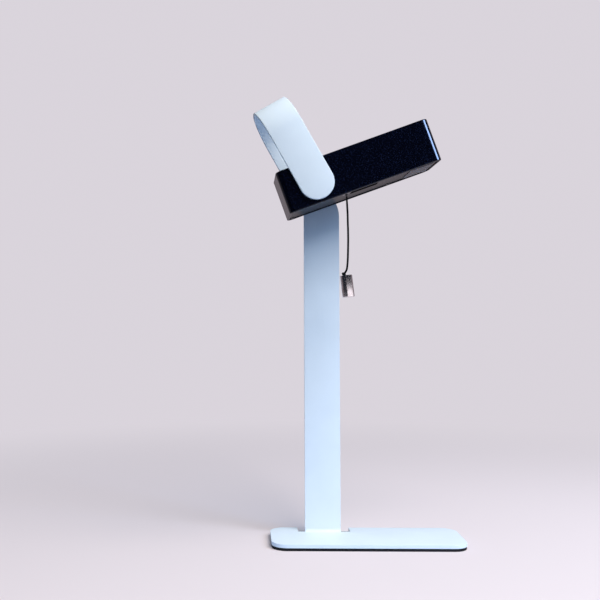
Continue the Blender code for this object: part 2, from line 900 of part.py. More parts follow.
# Pull switch: block, cap, sliding plunger, return spring and eyelet
def make_switch():
    points = box_points(-switch_length / 2, switch_length / 2, -switch_width / 2, switch_width / 2)
    body = prism("switch_body", points, switch_low, switch_high, switch_frame)
    chamber = rod("chamber_cut", switch_chamber_radius, chamber_low, switch_high + cut_margin, switch_frame)
    bore = rod("bore_cut", switch_bore_radius, switch_low - cut_margin, chamber_low + cut_margin, switch_frame)
    cut(body, chamber, bore)
    finish(body, black_plastic)
    cap_low = switch_high + gap
    cap = prism("switch_cap", points, cap_low, cap_low + switch_cap_thickness, switch_frame)
    finish(cap, nylon_grey)

    tip = cover_bottom - plunger_reach
    profile = [(0, collar_high), (plunger_collar_radius, collar_high), (plunger_collar_radius, collar_low)]
    profile += [(plunger_radius, collar_low)]
    for x, z in arc_points(0, tip, plunger_radius, 0, -quarter_turn, corner_steps)[:-1]:
        profile.append((x, z))
    profile.append((0, tip - plunger_radius))
    finish(turned("switch_plunger", profile, switch_frame), black_plastic)

    low = chamber_low + gap + spring_wire_radius
    high = collar_low - gap - spring_wire_radius
    count = spring_turns * spring_points_per_turn
    route = []
    for step in range(count + 1):
        angle = full_turn * step / spring_points_per_turn
        height = low + (high - low) * step / count
        route.append((spring_radius * math.cos(angle), spring_radius * math.sin(angle), height))
    finish(tube("switch_spring", route, spring_wire_radius, 1, switch_frame), bright_steel)
    apart = []
    for first in range(count + 1):
        for second in range(first + spring_points_per_turn // 2, count + 1):
            apart.append((Vector(route[first]) - Vector(route[second])).length)
    print("switch_spring least gap to itself, mm:", (min(apart) - 2 * spring_wire_radius) / 0.001)

    flange_high = cover_bottom - gap
    flange_low = flange_high - eyelet_flange_height
    tube_high = switch_low - gap
    profile = (
        (eyelet_outer_radius, tube_high),
        (eyelet_outer_radius, flange_high),
        (eyelet_flange_radius, flange_high),
        (eyelet_flange_radius, flange_low),
        (switch_bore_radius, flange_low),
        (switch_bore_radius, tube_high),
    )
    finish(lathe("cord_eyelet", profile, round_steps, switch_frame), bright_steel)


# Bolted joint of the head and post, which the far leg of the handle shares
def make_far_joint():
    eye_rear = -sheet_thickness
    washer_high = outer_washer_low + washer_thickness
    outer = ring(
        "outer_friction_washer", bolt_hole_radius, washer_radius, outer_washer_low, washer_high, stand_axle
    )
    finish(outer, nylon_grey)
    inner_high = inner_washer_low + washer_thickness
    inner = ring(
        "inner_friction_washer", bolt_hole_radius, washer_radius, inner_washer_low, inner_high, head_axle
    )
    finish(inner, nylon_grey)
    bush_outer = bolt_hole_radius + strap_bush_wall
    bush = ring("strap_bush", bolt_hole_radius, bush_outer, far_leg_low, far_leg_high, handle_axle)
    finish(bush, nylon_grey)

    plate_low = inside_far + gap
    plate_high = plate_low + bolt_plate_thickness
    half = bolt_plate_size / 2
    plate = prism("bolt_plate", box_points(-half, half, -half, half), plate_low, plate_high, head_axle)
    cut(plate, rod("plate_hole", bolt_hole_radius, plate_low - cut_margin, plate_high + cut_margin, head_axle))
    finish(plate, bright_steel)

    rear_washer_high = eye_rear - gap
    rear_washer_low = rear_washer_high - washer_thickness
    rear = ring(
        "rear_wave_washer", bolt_hole_radius, wave_washer_radius, rear_washer_low, rear_washer_high, stand_axle
    )
    finish(rear, bright_steel)
    nut_high = rear_washer_low - gap
    nut_low = nut_high - nut_height
    nut = hexagon("cap_nut", nut_radius, nut_low, nut_high, head_axle)
    bevel(nut, head_edge_radius / 2)
    dome = turned(
        "nut_dome",
        [
            (0, nut_low + nut_dome_height),
            (nut_radius * nut_dome_share, nut_low + nut_dome_height),
            (nut_radius * nut_dome_share, nut_low),
            (nut_radius * nut_tip_share, nut_low - nut_dome_height),
            (0, nut_low - nut_dome_height),
        ],
        head_axle,
    )
    join(nut, dome)
    cut(nut, rod("nut_bore", bolt_hole_radius, nut_low + nut_floor, nut_high + cut_margin, head_axle))
    finish(nut, bright_steel)

    head_low = plate_high + gap
    profile = [
        (0, head_low + bolt_head_height),
        (bolt_head_radius * bolt_crown_share, head_low + bolt_head_height),
        (bolt_head_radius, head_low + bolt_head_height / 2),
        (bolt_head_radius, head_low),
        (bolt_radius, head_low),
        (bolt_radius, nut_low + nut_floor + gap),
        (0, nut_low + nut_floor + gap),
    ]
    finish(turned("tilt_bolt", profile, head_axle), bright_steel)


# Bearing of the handle in the near wall of the case
def make_near_joint():
    washer_high = near_washer_low + washer_thickness
    washer = ring(
        "near_friction_washer", bolt_hole_radius, washer_radius, near_washer_low, washer_high, head_axle
    )
    finish(washer, nylon_grey)

    flange_high = inside_near - gap
    flange_low = flange_high - near_bush_flange_height
    tube_radius = bolt_hole_radius + near_bush_wall
    profile = (
        (tube_radius, case_near),
        (tube_radius, flange_high),
        (near_bush_flange_radius, flange_high),
        (near_bush_flange_radius, flange_low),
        (bolt_hole_radius, flange_low),
        (bolt_hole_radius, case_near),
    )
    finish(lathe("near_bush", profile, round_steps, head_axle), nylon_grey)

    wave_high = flange_low - gap
    wave_low = wave_high - washer_thickness
    wave = ring("near_wave_washer", bolt_hole_radius, wave_washer_radius, wave_low, wave_high, handle_axle)
    finish(wave, bright_steel)
    nut_high = wave_low - gap
    nut_low = nut_high - lock_nut_height
    nut = hexagon("near_lock_nut", lock_nut_radius, nut_low, nut_high, handle_axle)
    bevel(nut, head_edge_radius / 2)
    cut(nut, rod("lock_nut_bore", bolt_hole_radius, nut_low - cut_margin, nut_high + cut_margin, handle_axle))
    finish(nut, bright_steel)

    stud_high = near_leg_low - gap
    finish(rod("near_stud", bolt_radius, stud_high - stud_length, stud_high, handle_axle), bright_steel)


# Handle: one flat strap bent to a U, its free ends round about the pivot
def make_handle():
    half = strap_width / 2
    near = near_leg_low + strap_thickness / 2
    far = far_leg_low + strap_thickness / 2
    middle_radius = strap_bend_radius - strap_thickness / 2
    end = arc_points(0, 0, half, math.pi, full_turn, strap_end_steps)
    leg = [*end, (half, strap_flat_length), (-half, strap_flat_length)]
    polygons = [[(x, z, far) for x, z in leg], [(x, z, near) for x, z in leg]]
    path = []
    for step in range(strap_bend_steps + 1):
        angle = quarter_turn * step / strap_bend_steps
        rise = middle_radius * math.sin(angle)
        path.append((far + middle_radius * (1 - math.cos(angle)), strap_flat_length + rise))
    path += [(near + far - depth, height) for depth, height in reversed(path)]
    for (depth, height), (next_depth, next_height) in zip(path, path[1:]):
        polygons.append(
            [
                (-half, height, depth),
                (half, height, depth),
                (half, next_height, next_depth),
                (-half, next_height, next_depth),
            ]
        )
    strap = folded_sheet("handle_strap", polygons, strap_thickness, handle_axle)
    bevel(strap, strap_edge_radius)
    hole = bolt_hole_radius + strap_bush_wall + gap
    cut(strap, rod("strap_hole", hole, far_leg_low - cut_margin, far_leg_high + cut_margin, handle_axle))
    finish(strap, white_paint)


def make_leads():
    # Panel lead: from under the panel through the deck to the control board
    tray_right = tray_left + tray_length
    beside_tray = tray_left - lead_clearance - lead_radius
    board_top = board_low() + board_thickness + 2 * lead_clearance + lead_radius
    board_right = board_left + board_length
    panel_y = board_near + board_width * panel_lead_share
    battery_y = board_near + board_width * battery_lead_share
    led_y = board_near + board_width * led_lead_share
    routes = {
        "panel_lead": (
            (lead_window_x, lead_window_y, pocket_floor),
            (lead_window_x, lead_window_y, deck_bottom - tray_wall),
            (tray_right + lead_clearance + 3 * lead_radius, panel_y, 0),
            (board_right - 2 * board_post_inset, panel_y, board_top),
            (board_right - 4 * board_post_inset, panel_y, board_top),
        ),
        "battery_lead": (
            (beside_tray, battery_y, deck_bottom - tray_depth),
            (beside_tray, battery_y, 0),
            (board_left - 2 * lead_radius, battery_y, board_top + lead_clearance),
            (board_left + 2 * board_post_inset, battery_y, board_top),
            (board_left + 4 * board_post_inset, battery_y, board_top),
        ),
        "led_lead": (
            (board_right - 4 * board_post_inset, led_y, board_top),
            (board_right - board_post_inset, led_y, board_top),
            (lead_window_x, led_y, led_board_low() + led_board_thickness),
            (lens_left, led_y, lead_on_led_board() + lead_radius),
            (lens_left + 2 * board_post_inset, led_y, lead_on_led_board()),
        ),
    }
    for name, points in routes.items():
        route = smooth_route([Vector(point) for point in points], lead_point_spacing)
        finish(tube(name, route, lead_radius, lead_bevel_resolution, head_frame), lead_red)


def lead_on_led_board():
    return led_board_low() + led_board_thickness + lead_clearance + lead_radius


# Cord, knot and weight, hanging plumb from the plunger's round tip
def make_cord():
    cord_y = -switch_y
    tip = head_frame @ Vector((switch_x, switch_y, cover_bottom - plunger_reach))
    cord_frame = Matrix.Translation(tip)
    flat = [Vector((x, 0, z)) + pivot - Vector((0, cord_y, 0)) - tip for x, z in cord_route]
    flat[0] = Vector((0, 0, 0))
    route = smooth_route(flat, cord_point_spacing)
    start = plunger_radius + cord_start_gap
    route = [point for point in route if point.length > start + cord_point_spacing / 4]
    route.insert(0, route[0].normalized() * start)
    finish(tube("pull_cord", route, cord_radius, cord_bevel_resolution, cord_frame), cord_black)

    lean = math.atan2(weight_bottom_x - weight_top_x, weight_top_z - weight_bottom_z)
    top = Vector((weight_top_x, 0, weight_top_z)) + pivot - Vector((0, cord_y, 0)) - tip
    length = math.hypot(weight_bottom_x - weight_top_x, weight_top_z - weight_bottom_z)
    weight_frame = cord_frame @ Matrix.Translation(top) @ Matrix.Rotation(-lean, 4, "Y")
    edge = weight_edge_radius
    profile = [
        (0, 0),
        (weight_radius - edge, 0),
        *[
            (weight_radius - edge + x, z - edge)
            for x, z in arc_points(0, 0, edge, quarter_turn, 0, corner_steps)[1:]
        ],
        *[
            (weight_radius - edge + x, z + edge - length)
            for x, z in arc_points(0, 0, edge, 0, -quarter_turn, corner_steps)
        ],
        (0, -length),
    ]
    finish(turned("pull_weight", profile, weight_frame, fine_round_steps), weight_chrome)

    knot_height = knot_radius * knot_flat_share
    knot_frame = weight_frame @ Matrix.Translation((-knot_offset, 0, gap + knot_height))
    knot_profile = [
        (x, z * knot_flat_share)
        for x, z in arc_points(0, 0, knot_radius, quarter_turn, -quarter_turn, 2 * corner_steps)
    ]
    knot_profile[0] = (0, knot_height)
    knot_profile[-1] = (0, -knot_height)
    finish(turned("cord_knot", knot_profile, knot_frame), cord_black)
    knot_centre = (cord_frame.inverted() @ knot_frame).translation
    print("cord end to knot surface, mm:", ((route[-1] - knot_centre).length - knot_radius) / 0.001)
    print("cord length, mm:", sum((b - a).length for a, b in zip(route, route[1:])) / 0.001)


make_stand()
make_case()
make_panel()
make_cover()
make_cover_screws()
make_light()
make_battery()
make_control_board()
make_switch()
make_far_joint()
make_near_joint()
make_handle()
make_leads()
make_cord()
print("objects:", len(lamp.objects))
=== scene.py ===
import math

import bmesh
import bpy
from mathutils import Matrix, Vector


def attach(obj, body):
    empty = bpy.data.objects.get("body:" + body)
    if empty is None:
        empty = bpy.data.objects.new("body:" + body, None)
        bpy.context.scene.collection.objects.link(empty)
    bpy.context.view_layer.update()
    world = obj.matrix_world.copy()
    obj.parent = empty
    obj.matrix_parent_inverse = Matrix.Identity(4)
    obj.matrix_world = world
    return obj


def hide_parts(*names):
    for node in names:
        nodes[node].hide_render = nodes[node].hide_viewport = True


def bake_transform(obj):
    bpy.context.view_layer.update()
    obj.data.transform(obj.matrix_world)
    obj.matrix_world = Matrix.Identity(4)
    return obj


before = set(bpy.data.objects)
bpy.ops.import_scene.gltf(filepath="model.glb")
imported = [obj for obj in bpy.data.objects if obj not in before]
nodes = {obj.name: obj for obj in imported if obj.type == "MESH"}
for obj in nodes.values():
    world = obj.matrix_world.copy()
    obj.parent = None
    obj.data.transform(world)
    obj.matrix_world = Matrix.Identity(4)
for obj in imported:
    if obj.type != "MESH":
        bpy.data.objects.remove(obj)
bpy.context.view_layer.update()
scene = bpy.context.scene
quarter = math.pi / 2
fullTurn = 2 * math.pi
print("frame loaded:", len(nodes), "nodes")

# The lamp's own frames: the tilted head and the swung handle turn about one axle on the post.
# All lengths are in metres.
pivot = Vector((-0.05383, 0.0194, 0.3643))
headTilt = math.radians(19.6)
handleSwing = math.radians(29.22)
upright = Matrix.Rotation(quarter, 4, "X")
headFrame = Matrix.Translation(pivot) @ Matrix.Rotation(-headTilt, 4, "Y")
handleFrame = Matrix.Translation(pivot) @ Matrix.Rotation(-handleSwing, 4, "Y")
postAxle = Matrix.Translation(pivot) @ upright
headAxle = headFrame @ upright
handleAxle = handleFrame @ upright

# Camera: fitted to the edges of the photographed lamp; angles in degrees
cameraFacts = {
    "place": (-0.12403, -0.8335, 0.22704), "yaw": -1.18, "rise": 1.58, "roll": -0.09,
    "lens": 48, "sensor": 36, "shift": 0.1188, "nearest": 0.01,
}


def aimCamera():
    yaw, rise, roll = (math.radians(cameraFacts[key]) for key in ("yaw", "rise", "roll"))
    forward = Vector((
        math.sin(yaw) * math.cos(rise), math.cos(yaw) * math.cos(rise), math.sin(rise)
    ))
    right = forward.cross(Vector((0, 0, 1))).normalized()
    up = right.cross(forward)
    right, up = (
        right * math.cos(roll) + up * math.sin(roll),
        up * math.cos(roll) - right * math.sin(roll),
    )
    lens = bpy.data.cameras.new("camera")
    lens.lens = cameraFacts["lens"]
    lens.sensor_width = cameraFacts["sensor"]
    lens.shift_x = cameraFacts["shift"]
    lens.clip_start = cameraFacts["nearest"]
    camera = bpy.data.objects.new("camera", lens)
    scene.collection.objects.link(camera)
    turned = Matrix((right, up, -forward)).transposed().to_4x4()
    camera.matrix_world = Matrix.Translation(Vector(cameraFacts["place"])) @ turned
    scene.camera = camera


aimCamera()
print("camera placed")


# Node helpers for materials
class Look:
    def __init__(self, name):
        self.material = bpy.data.materials.new(name)
        self.material.use_nodes = True
        self.tree = self.material.node_tree
        self.shader = self.tree.nodes["Principled BSDF"]
        self.place = self.tree.nodes.new("ShaderNodeTexCoord").outputs["Object"]

    def link(self, source, target):
        self.tree.links.new(source, target)

    def set(self, **values):
        for name, value in values.items():
            socket = self.shader.inputs[name.replace("_", " ")]
            socket.default_value = (*value, 1) if isinstance(value, tuple) else value
        return self

    def mapped(self, scale):
        node = self.tree.nodes.new("ShaderNodeMapping")
        node.inputs["Scale"].default_value = scale
        self.link(self.place, node.inputs["Vector"])
        return node.outputs["Vector"]

    def noise(self, scale, detail=2, vector=None, rough=0.5):
        node = self.tree.nodes.new("ShaderNodeTexNoise")
        node.inputs["Scale"].default_value = scale
        node.inputs["Detail"].default_value = detail
        node.inputs["Roughness"].default_value = rough
        self.link(vector or self.place, node.inputs["Vector"])
        return node.outputs["Fac"]

    def cells(self, scale, vector=None):
        node = self.tree.nodes.new("ShaderNodeTexVoronoi")
        node.inputs["Scale"].default_value = scale
        self.link(vector or self.place, node.inputs["Vector"])
        return node.outputs["Distance"]

    def bands(self, scale, direction):
        node = self.tree.nodes.new("ShaderNodeTexWave")
        node.bands_direction = direction
        node.inputs["Scale"].default_value = scale
        self.link(self.place, node.inputs["Vector"])
        return node.outputs["Fac"]

    def ramp(self, fac, *stops):
        node = self.tree.nodes.new("ShaderNodeValToRGB")
        points = node.color_ramp.elements
        while len(points) < len(stops):
            points.new(0.5)
        for point, (spot, colour) in zip(points, stops):
            point.position = spot
            point.color = (*(colour if isinstance(colour, tuple) else (colour,) * 3), 1)
        self.link(fac, node.inputs["Fac"])
        return node.outputs["Color"]

    def mixed(self, fac, first, second):
        node = self.tree.nodes.new("ShaderNodeMix")
        node.data_type = "RGBA"
        self.link(fac, node.inputs["Factor"])
        for socket, value in ((node.inputs["A"], first), (node.inputs["B"], second)):
            if isinstance(value, tuple):
                socket.default_value = (*value, 1)
            else:
                self.link(value, socket)
        return node.outputs["Result"]

    def colour(self, source):
        self.link(source, self.shader.inputs["Base Color"])

    def roughness(self, source):
        self.link(source, self.shader.inputs["Roughness"])

    def bump(self, height, distance, strength, under=None):
        node = self.tree.nodes.new("ShaderNodeBump")
        node.inputs["Strength"].default_value = strength
        node.inputs["Distance"].default_value = distance
        self.link(height, node.inputs["Height"])
        if under:
            self.link(under, node.inputs["Normal"])
        self.link(node.outputs["Normal"], self.shader.inputs["Normal"])
        return node.outputs["Normal"]


def powderPaint(name, tone):
    # Fine orange peel over a faint cloud of shade
    look = Look(name)
    peel = look.noise(scale=1500)
    cloud = look.noise(scale=28, detail=3)
    pale = tuple(part * 0.97 for part in tone)
    look.colour(look.ramp(cloud, (0.35, pale), (0.65, tone)))
    look.roughness(look.ramp(look.noise(scale=420), (0.3, 0.40), (0.7, 0.50)))
    look.bump(peel, distance=0.00005, strength=0.45)
    return look.set(Specular_IOR_Level=0.42).material


def sparkGrain(name, dark, speck, share, level, roughness, sheen):
    # Fine spark-eroded plastic grain with pale specks on its peaks
    look = Look(name)
    grain = look.cells(scale=1900)
    fine = look.noise(scale=2600, detail=3)
    peaks = look.noise(scale=820, detail=3, rough=0.6)
    specks = look.ramp(peaks, (share, dark), (share + 0.12, speck))
    patches = look.ramp(look.noise(scale=60), (0.3, 0.0), (0.7, 0.35))
    look.colour(look.mixed(patches, specks, dark))
    look.roughness(look.ramp(fine, (0.3, roughness[0]), (0.7, roughness[1])))
    under = look.bump(grain, distance=0.00003, strength=0.16)
    look.bump(fine, distance=0.00002, strength=0.12, under=under)
    return look.set(Specular_IOR_Level=level, Specular_Tint=sheen).material


def mouldedPlastic(name, tone, roughness):
    look = Look(name)
    pale = tuple(min(1.0, part * 1.15 + 0.004) for part in tone)
    look.colour(look.ramp(look.noise(scale=90, detail=3), (0.35, tone), (0.7, pale)))
    polish = look.noise(scale=500)
    look.roughness(look.ramp(polish, (0.3, roughness - 0.06), (0.7, roughness + 0.06)))
    look.bump(look.noise(scale=1400), distance=0.00003, strength=0.35)
    return look.set(Specular_IOR_Level=0.4).material


def platedSteel(name, tone=(0.60, 0.60, 0.62), roughness=0.28):
    look = Look(name)
    brushed = look.noise(scale=300, detail=3, vector=look.mapped((1, 1, 9)))
    darker = tuple(part * 0.85 for part in tone)
    look.colour(look.ramp(brushed, (0.3, darker), (0.7, tone)))
    look.roughness(look.ramp(brushed, (0.3, roughness - 0.06), (0.7, roughness + 0.08)))
    look.bump(brushed, distance=0.00002, strength=0.25)
    return look.set(Metallic=1.0).material


def rubberSkin(name, tone):
    look = Look(name)
    grain = look.noise(scale=1300, detail=4)
    pale = tuple(part * 1.8 + 0.006 for part in tone)
    look.colour(look.ramp(grain, (0.35, tone), (0.75, pale)))
    look.roughness(look.ramp(look.noise(scale=240), (0.3, 0.78), (0.7, 0.92)))
    look.bump(grain, distance=0.00008, strength=0.5)
    return look.set(Specular_IOR_Level=0.25).material


def circuitBoard(name):
    look = Look(name)
    tracks = look.cells(scale=420, vector=look.mapped((1, 1.6, 1)))
    look.colour(look.ramp(tracks, (0.42, (0.012, 0.10, 0.045)), (0.5, (0.03, 0.20, 0.09))))
    look.roughness(look.ramp(look.noise(scale=300), (0.3, 0.3), (0.7, 0.42)))
    look.bump(tracks, distance=0.00003, strength=0.4)
    return look.material


# Mesh helpers
bevelAngle = math.radians(40)
seamReach = 0.00001  # points nearer than this join at a sheet's folds
weldReach = 0.000002  # and at the edges that a cut leaves
overcut = 0.003  # how far a cutter runs past what it cuts


def arc(x, y, radius, start, end, steps):
    angles = [start + (end - start) * step / steps for step in range(steps + 1)]
    return [(x + radius * math.cos(angle), y + radius * math.sin(angle)) for angle in angles]


def roundedBox(left, right, low, high, radius, steps=10):
    corners = (
        (right - radius, low + radius, -quarter),
        (right - radius, high - radius, 0),
        (left + radius, high - radius, quarter),
        (left + radius, low + radius, math.pi),
    )
    return [
        point
        for x, y, start in corners
        for point in arc(x, y, radius, start, start + quarter, steps)
    ]


def circle(x, y, radius, steps=48):
    return arc(x, y, radius, 0, fullTurn, steps)[:-1]


def shaped(name, shape, place):
    mesh = bpy.data.meshes.new(name)
    bmesh.ops.recalc_face_normals(shape, faces=shape.faces)
    shape.to_mesh(mesh)
    shape.free()
    piece = bpy.data.objects.new(name, mesh)
    scene.collection.objects.link(piece)
    piece.matrix_world = place
    return piece


def prism(name, points, low, high, place):
    shape = bmesh.new()
    face = shape.faces.new([shape.verts.new((x, y, low)) for x, y in points])
    grown = bmesh.ops.extrude_face_region(shape, geom=[face])["geom"]
    lifted = [item for item in grown if isinstance(item, bmesh.types.BMVert)]
    bmesh.ops.translate(shape, verts=lifted, vec=(0, 0, high - low))
    return shaped(name, shape, place)


def lathe(name, profile, place, steps=72):
    shape = bmesh.new()
    turns = [fullTurn * step / steps for step in range(steps)]
    rings = []
    for radius, height in profile:
        if radius == 0:
            rings.append([shape.verts.new((0, 0, height))] * steps)
            continue
        rings.append([
            shape.verts.new((radius * math.cos(turn), radius * math.sin(turn), height))
            for turn in turns
        ])
    for upper, lower in zip(rings, rings[1:]):
        for index in range(steps):
            after = (index + 1) % steps
            corners = [upper[index], upper[after], lower[after], lower[index]]
            unique = list(dict.fromkeys(corners))
            if len(unique) > 2:
                shape.faces.new(unique)
    return shaped(name, shape, place)


def foldedSheet(name, polygons, thickness, place):
    shape = bmesh.new()
    for polygon in polygons:
        shape.faces.new([shape.verts.new(point) for point in polygon])
    bmesh.ops.remove_doubles(shape, verts=shape.verts, dist=seamReach)
    piece = shaped(name, shape, place)
    solid = piece.modifiers.new("sheet", "SOLIDIFY")
    solid.thickness = thickness
    solid.offset = 0
    solid.use_even_offset = True
    return piece


def tube(name, path, radius, place, steps, closed=False, swell=None):
    # A tube whose rings turn no more than the path does
    shape = bmesh.new()
    rings = []
    count = len(path)
    side = None
    for index, point in enumerate(path):
        before = path[index - 1] if closed or index else point
        after = path[(index + 1) % count] if closed or index < count - 1 else point
        along = (after - before).normalized()
        if side is None:
            side = along.orthogonal().normalized()
        side = (side - along * side.dot(along)).normalized()
        across = along.cross(side)
        ring = []
        for step in range(steps):
            angle = fullTurn * step / steps
            reach = radius * (swell(index, angle) if swell else 1)
            outward = side * math.cos(angle) + across * math.sin(angle)
            ring.append(shape.verts.new(point + outward * reach))
        rings.append(ring)
    pairs = list(zip(rings, rings[1:]))
    if closed:
        pairs.append((rings[-1], rings[0]))
    for first, second in pairs:
        for step in range(steps):
            after = (step + 1) % steps
            shape.faces.new([first[step], first[after], second[after], second[step]])
    if not closed:
        shape.faces.new(list(reversed(rings[0])))
        shape.faces.new(rings[-1])
    return shaped(name, shape, place)


def rounded(piece, width, segments=4):
    edges = piece.modifiers.new("edges", "BEVEL")
    edges.width = width
    edges.segments = segments
    edges.limit_method = "ANGLE"
    edges.angle_limit = bevelAngle
    return piece


def cutBy(piece, *cutters):
    for cutter in cutters:
        modifier = piece.modifiers.new("cut", "BOOLEAN")
        modifier.operation = "DIFFERENCE"
        modifier.solver = "EXACT"
        modifier.object = cutter
    settle(piece)
    for cutter in cutters:
        bpy.data.objects.remove(cutter)


def settle(piece):
    # Turns the modifiers into plain mesh
    graph = bpy.context.evaluated_depsgraph_get()
    graph.update()
    mesh = bpy.data.meshes.new_from_object(piece.evaluated_get(graph))
    piece.modifiers.clear()
    piece.data = mesh
    shape = bmesh.new()
    shape.from_mesh(mesh)
    bmesh.ops.remove_doubles(shape, verts=shape.verts, dist=weldReach)
    shape.to_mesh(mesh)
    shape.free()


def dress(piece, body, material, slot, *replaced, sharp=34):
    piece.data.materials.clear()
    piece.data.materials.append(material)
    for face in piece.data.polygons:
        face.use_smooth = True
    piece.data.set_sharp_from_angle(angle=math.radians(sharp))
    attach(piece, body)
    if replaced:
        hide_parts(*replaced)
    return piece


def smoothRoute(points, spacing, samples=40):
    # A smooth curve through the points, then points on it at an even spacing
    ends = [points[0] * 2 - points[1], *points, points[-1] * 2 - points[-2]]
    dense = []
    for index in range(1, len(ends) - 2):
        before, start, stop, after = ends[index - 1 : index + 3]
        for sample in range(samples):
            share = sample / samples
            dense.append(
                (
                    start * 2
                    + (stop - before) * share
                    + (before * 2 - start * 5 + stop * 4 - after) * share**2
                    + (start * 3 - before - stop * 3 + after) * share**3
                ) / 2
            )
    dense.append(points[-1])
    gone = [0]
    for first, second in zip(dense, dense[1:]):
        gone.append(gone[-1] + (second - first).length)
    count = max(2, round(gone[-1] / spacing))
    route = []
    index = 0
    for step in range(count + 1):
        wanted = gone[-1] * step / count
        while index < len(dense) - 2 and gone[index + 1] < wanted:
            index += 1
        span = gone[index + 1] - gone[index]
        route.append(dense[index].lerp(dense[index + 1], (wanted - gone[index]) / span))
    return route

# Pull cord: a thin black braid from the plunger's round tip to a knot on the weight
cordFacts = {
    "diameter": 0.002, "start": 0.0016, "spacing": 0.0026, "ring": 0.00022, "sides": 32,
    "strands": 8, "pitch": 0.0052, "valley": 0.93, "neck": 0.88, "neckLength": 0.008,
    "tipHeight": -0.02045,
}
switchX = 0.0255  # the switch's place along the head
cordDepth = 0.0573  # how far the cord hangs in front of the post's plane
cordTip = headFrame @ Vector((switchX, -cordDepth, cordFacts["tipHeight"]))
cordTurns = (
    (0.03088, -0.01071),
    (0.0312, -0.0166),
    (0.0318, -0.0280),
    (0.0320, -0.0374),
    (0.0323, -0.0539),
    (0.0318, -0.0746),
    (0.0308, -0.0848),
    (0.0295, -0.0875),
    (0.0286, -0.0889),  # inside the knot
)


def braidedCord():
    facts = cordFacts
    flat = [Vector((x, -cordDepth, z)) + pivot - cordTip for x, z in cordTurns]
    flat[0] = Vector((0, 0, 0))
    route = smoothRoute(flat, facts["spacing"])
    route = [point for point in route if point.length > facts["start"] + facts["spacing"] / 4]
    route.insert(0, route[0].normalized() * facts["start"])
    fine = smoothRoute(route, facts["ring"], samples=16)

    def braid(index, angle):
        # Strands that wind both ways lift the skin where they pass over each other
        turn = fullTurn * index * facts["ring"] / facts["pitch"]
        half = facts["strands"] / 2
        one = abs(math.cos(half * (angle + turn)))
        other = abs(math.cos(half * (angle - turn)))
        # The braid is drawn tight where the plunger holds it, which keeps it off the eyelet
        grown = min(index * facts["ring"] / facts["neckLength"], 1) ** 2
        neck = facts["neck"] + (1 - facts["neck"]) * grown
        return neck * (facts["valley"] + (1 - facts["valley"]) * max(one, other))

    place = Matrix.Translation(cordTip)
    cord = tube("pullCordBraid", fine, facts["diameter"] / 2, place, facts["sides"], swell=braid)
    look = Look("cordBraidLook")
    thread = look.noise(scale=2600, detail=3, vector=look.mapped((1, 1, 0.35)))
    look.colour(look.ramp(thread, (0.3, (0.002, 0.002, 0.003)), (0.75, (0.012, 0.012, 0.015))))
    look.roughness(look.ramp(thread, (0.3, 0.6), (0.7, 0.8)))
    look.bump(thread, distance=0.00006, strength=0.6)
    look.set(Specular_IOR_Level=0.12)
    dress(cord, "cord", look.material, "cord_braid", "pull_cord", sharp=60)
    return cord, [cordTip + point for point in fine], look.material


cord, cordPath, cordMaterial = braidedCord()

# Weight: a turned and polished metal cylinder, leaning a little
weightFacts = {
    "top": (0.0299, -0.0910), "bottom": (0.0324, -0.1127), "radius": 0.006, "fillet": 0.0006,
    "step": 0.34, "topDish": ((0, 0.00012), (0.30, 0.00010)),
    "lowDish": ((0.28, 0.0006), (0, 0.0007)),
    "metal": ((0.72, 0.67, 0.68), (0.92, 0.88, 0.90)), "stain": (0.46, 0.36, 0.35),
}


def turnedWeight():
    facts = weightFacts
    (topX, topZ), (lowX, lowZ) = facts["top"], facts["bottom"]
    lean = math.atan2(lowX - topX, topZ - lowZ)
    length = math.hypot(lowX - topX, topZ - lowZ)
    top = Vector((topX, -cordDepth, topZ)) + pivot
    place = Matrix.Translation(top) @ Matrix.Rotation(-lean, 4, "Y")
    radius, fillet = facts["radius"], facts["fillet"]
    centre = radius - fillet
    profile = [(radius * share, -depth) for share, depth in facts["topDish"]]
    profile += [(radius * facts["step"], 0)]
    upper = arc(0, 0, fillet, quarter, 0, steps=6)
    lower = arc(0, 0, fillet, 0, -quarter, steps=6)
    profile += [(centre + x, z - fillet) for x, z in upper]
    profile += [(centre + x, z + fillet - length) for x, z in lower]
    profile += [(radius * facts["step"], -length)]
    profile += [(radius * share, depth - length) for share, depth in facts["lowDish"]]
    weight = lathe("pullWeightBody", profile, place, steps=96)
    look = Look("polishedWeightLook")
    lines = look.noise(scale=120, detail=4, vector=look.mapped((1, 1, 60)))
    stained = look.ramp(look.noise(scale=220, detail=3), (0.45, 0.0), (0.75, 0.5))
    dark, bright = facts["metal"]
    look.colour(look.mixed(stained, look.ramp(lines, (0.3, dark), (0.7, bright)), facts["stain"]))
    look.roughness(look.ramp(lines, (0.3, 0.15), (0.7, 0.23)))
    look.bump(lines, distance=0.00001, strength=0.3)
    look.set(Metallic=1.0)
    dress(weight, "cord", look.material, "weight_metal", "pull_weight")
    return weight, place


weight, weightPlace = turnedWeight()

# Knot: the cord's own end in an overhand knot, lying on the weight
knotFacts = {
    "place": (-0.0019, 0, 0.0016), "size": 0.00042, "lift": 1.8, "radius": 0.00085,
    "rings": 96, "sides": 16,
}


def cordKnot():
    facts = knotFacts
    size = facts["size"]
    path = []
    for step in range(facts["rings"]):
        turn = fullTurn * step / facts["rings"]
        x = math.sin(turn) + 2 * math.sin(2 * turn)
        y = math.cos(turn) - 2 * math.cos(2 * turn)
        path.append(Vector((x * size, y * size, -math.sin(3 * turn) * size * facts["lift"])))
    place = weightPlace @ Matrix.Translation(facts["place"])
    knot = tube("pullCordKnot", path, facts["radius"], place, facts["sides"], closed=True)
    return dress(knot, "cord", cordMaterial, "cord_braid", "cord_knot", sharp=60)


knot = cordKnot()
print("cord, knot and weight made")

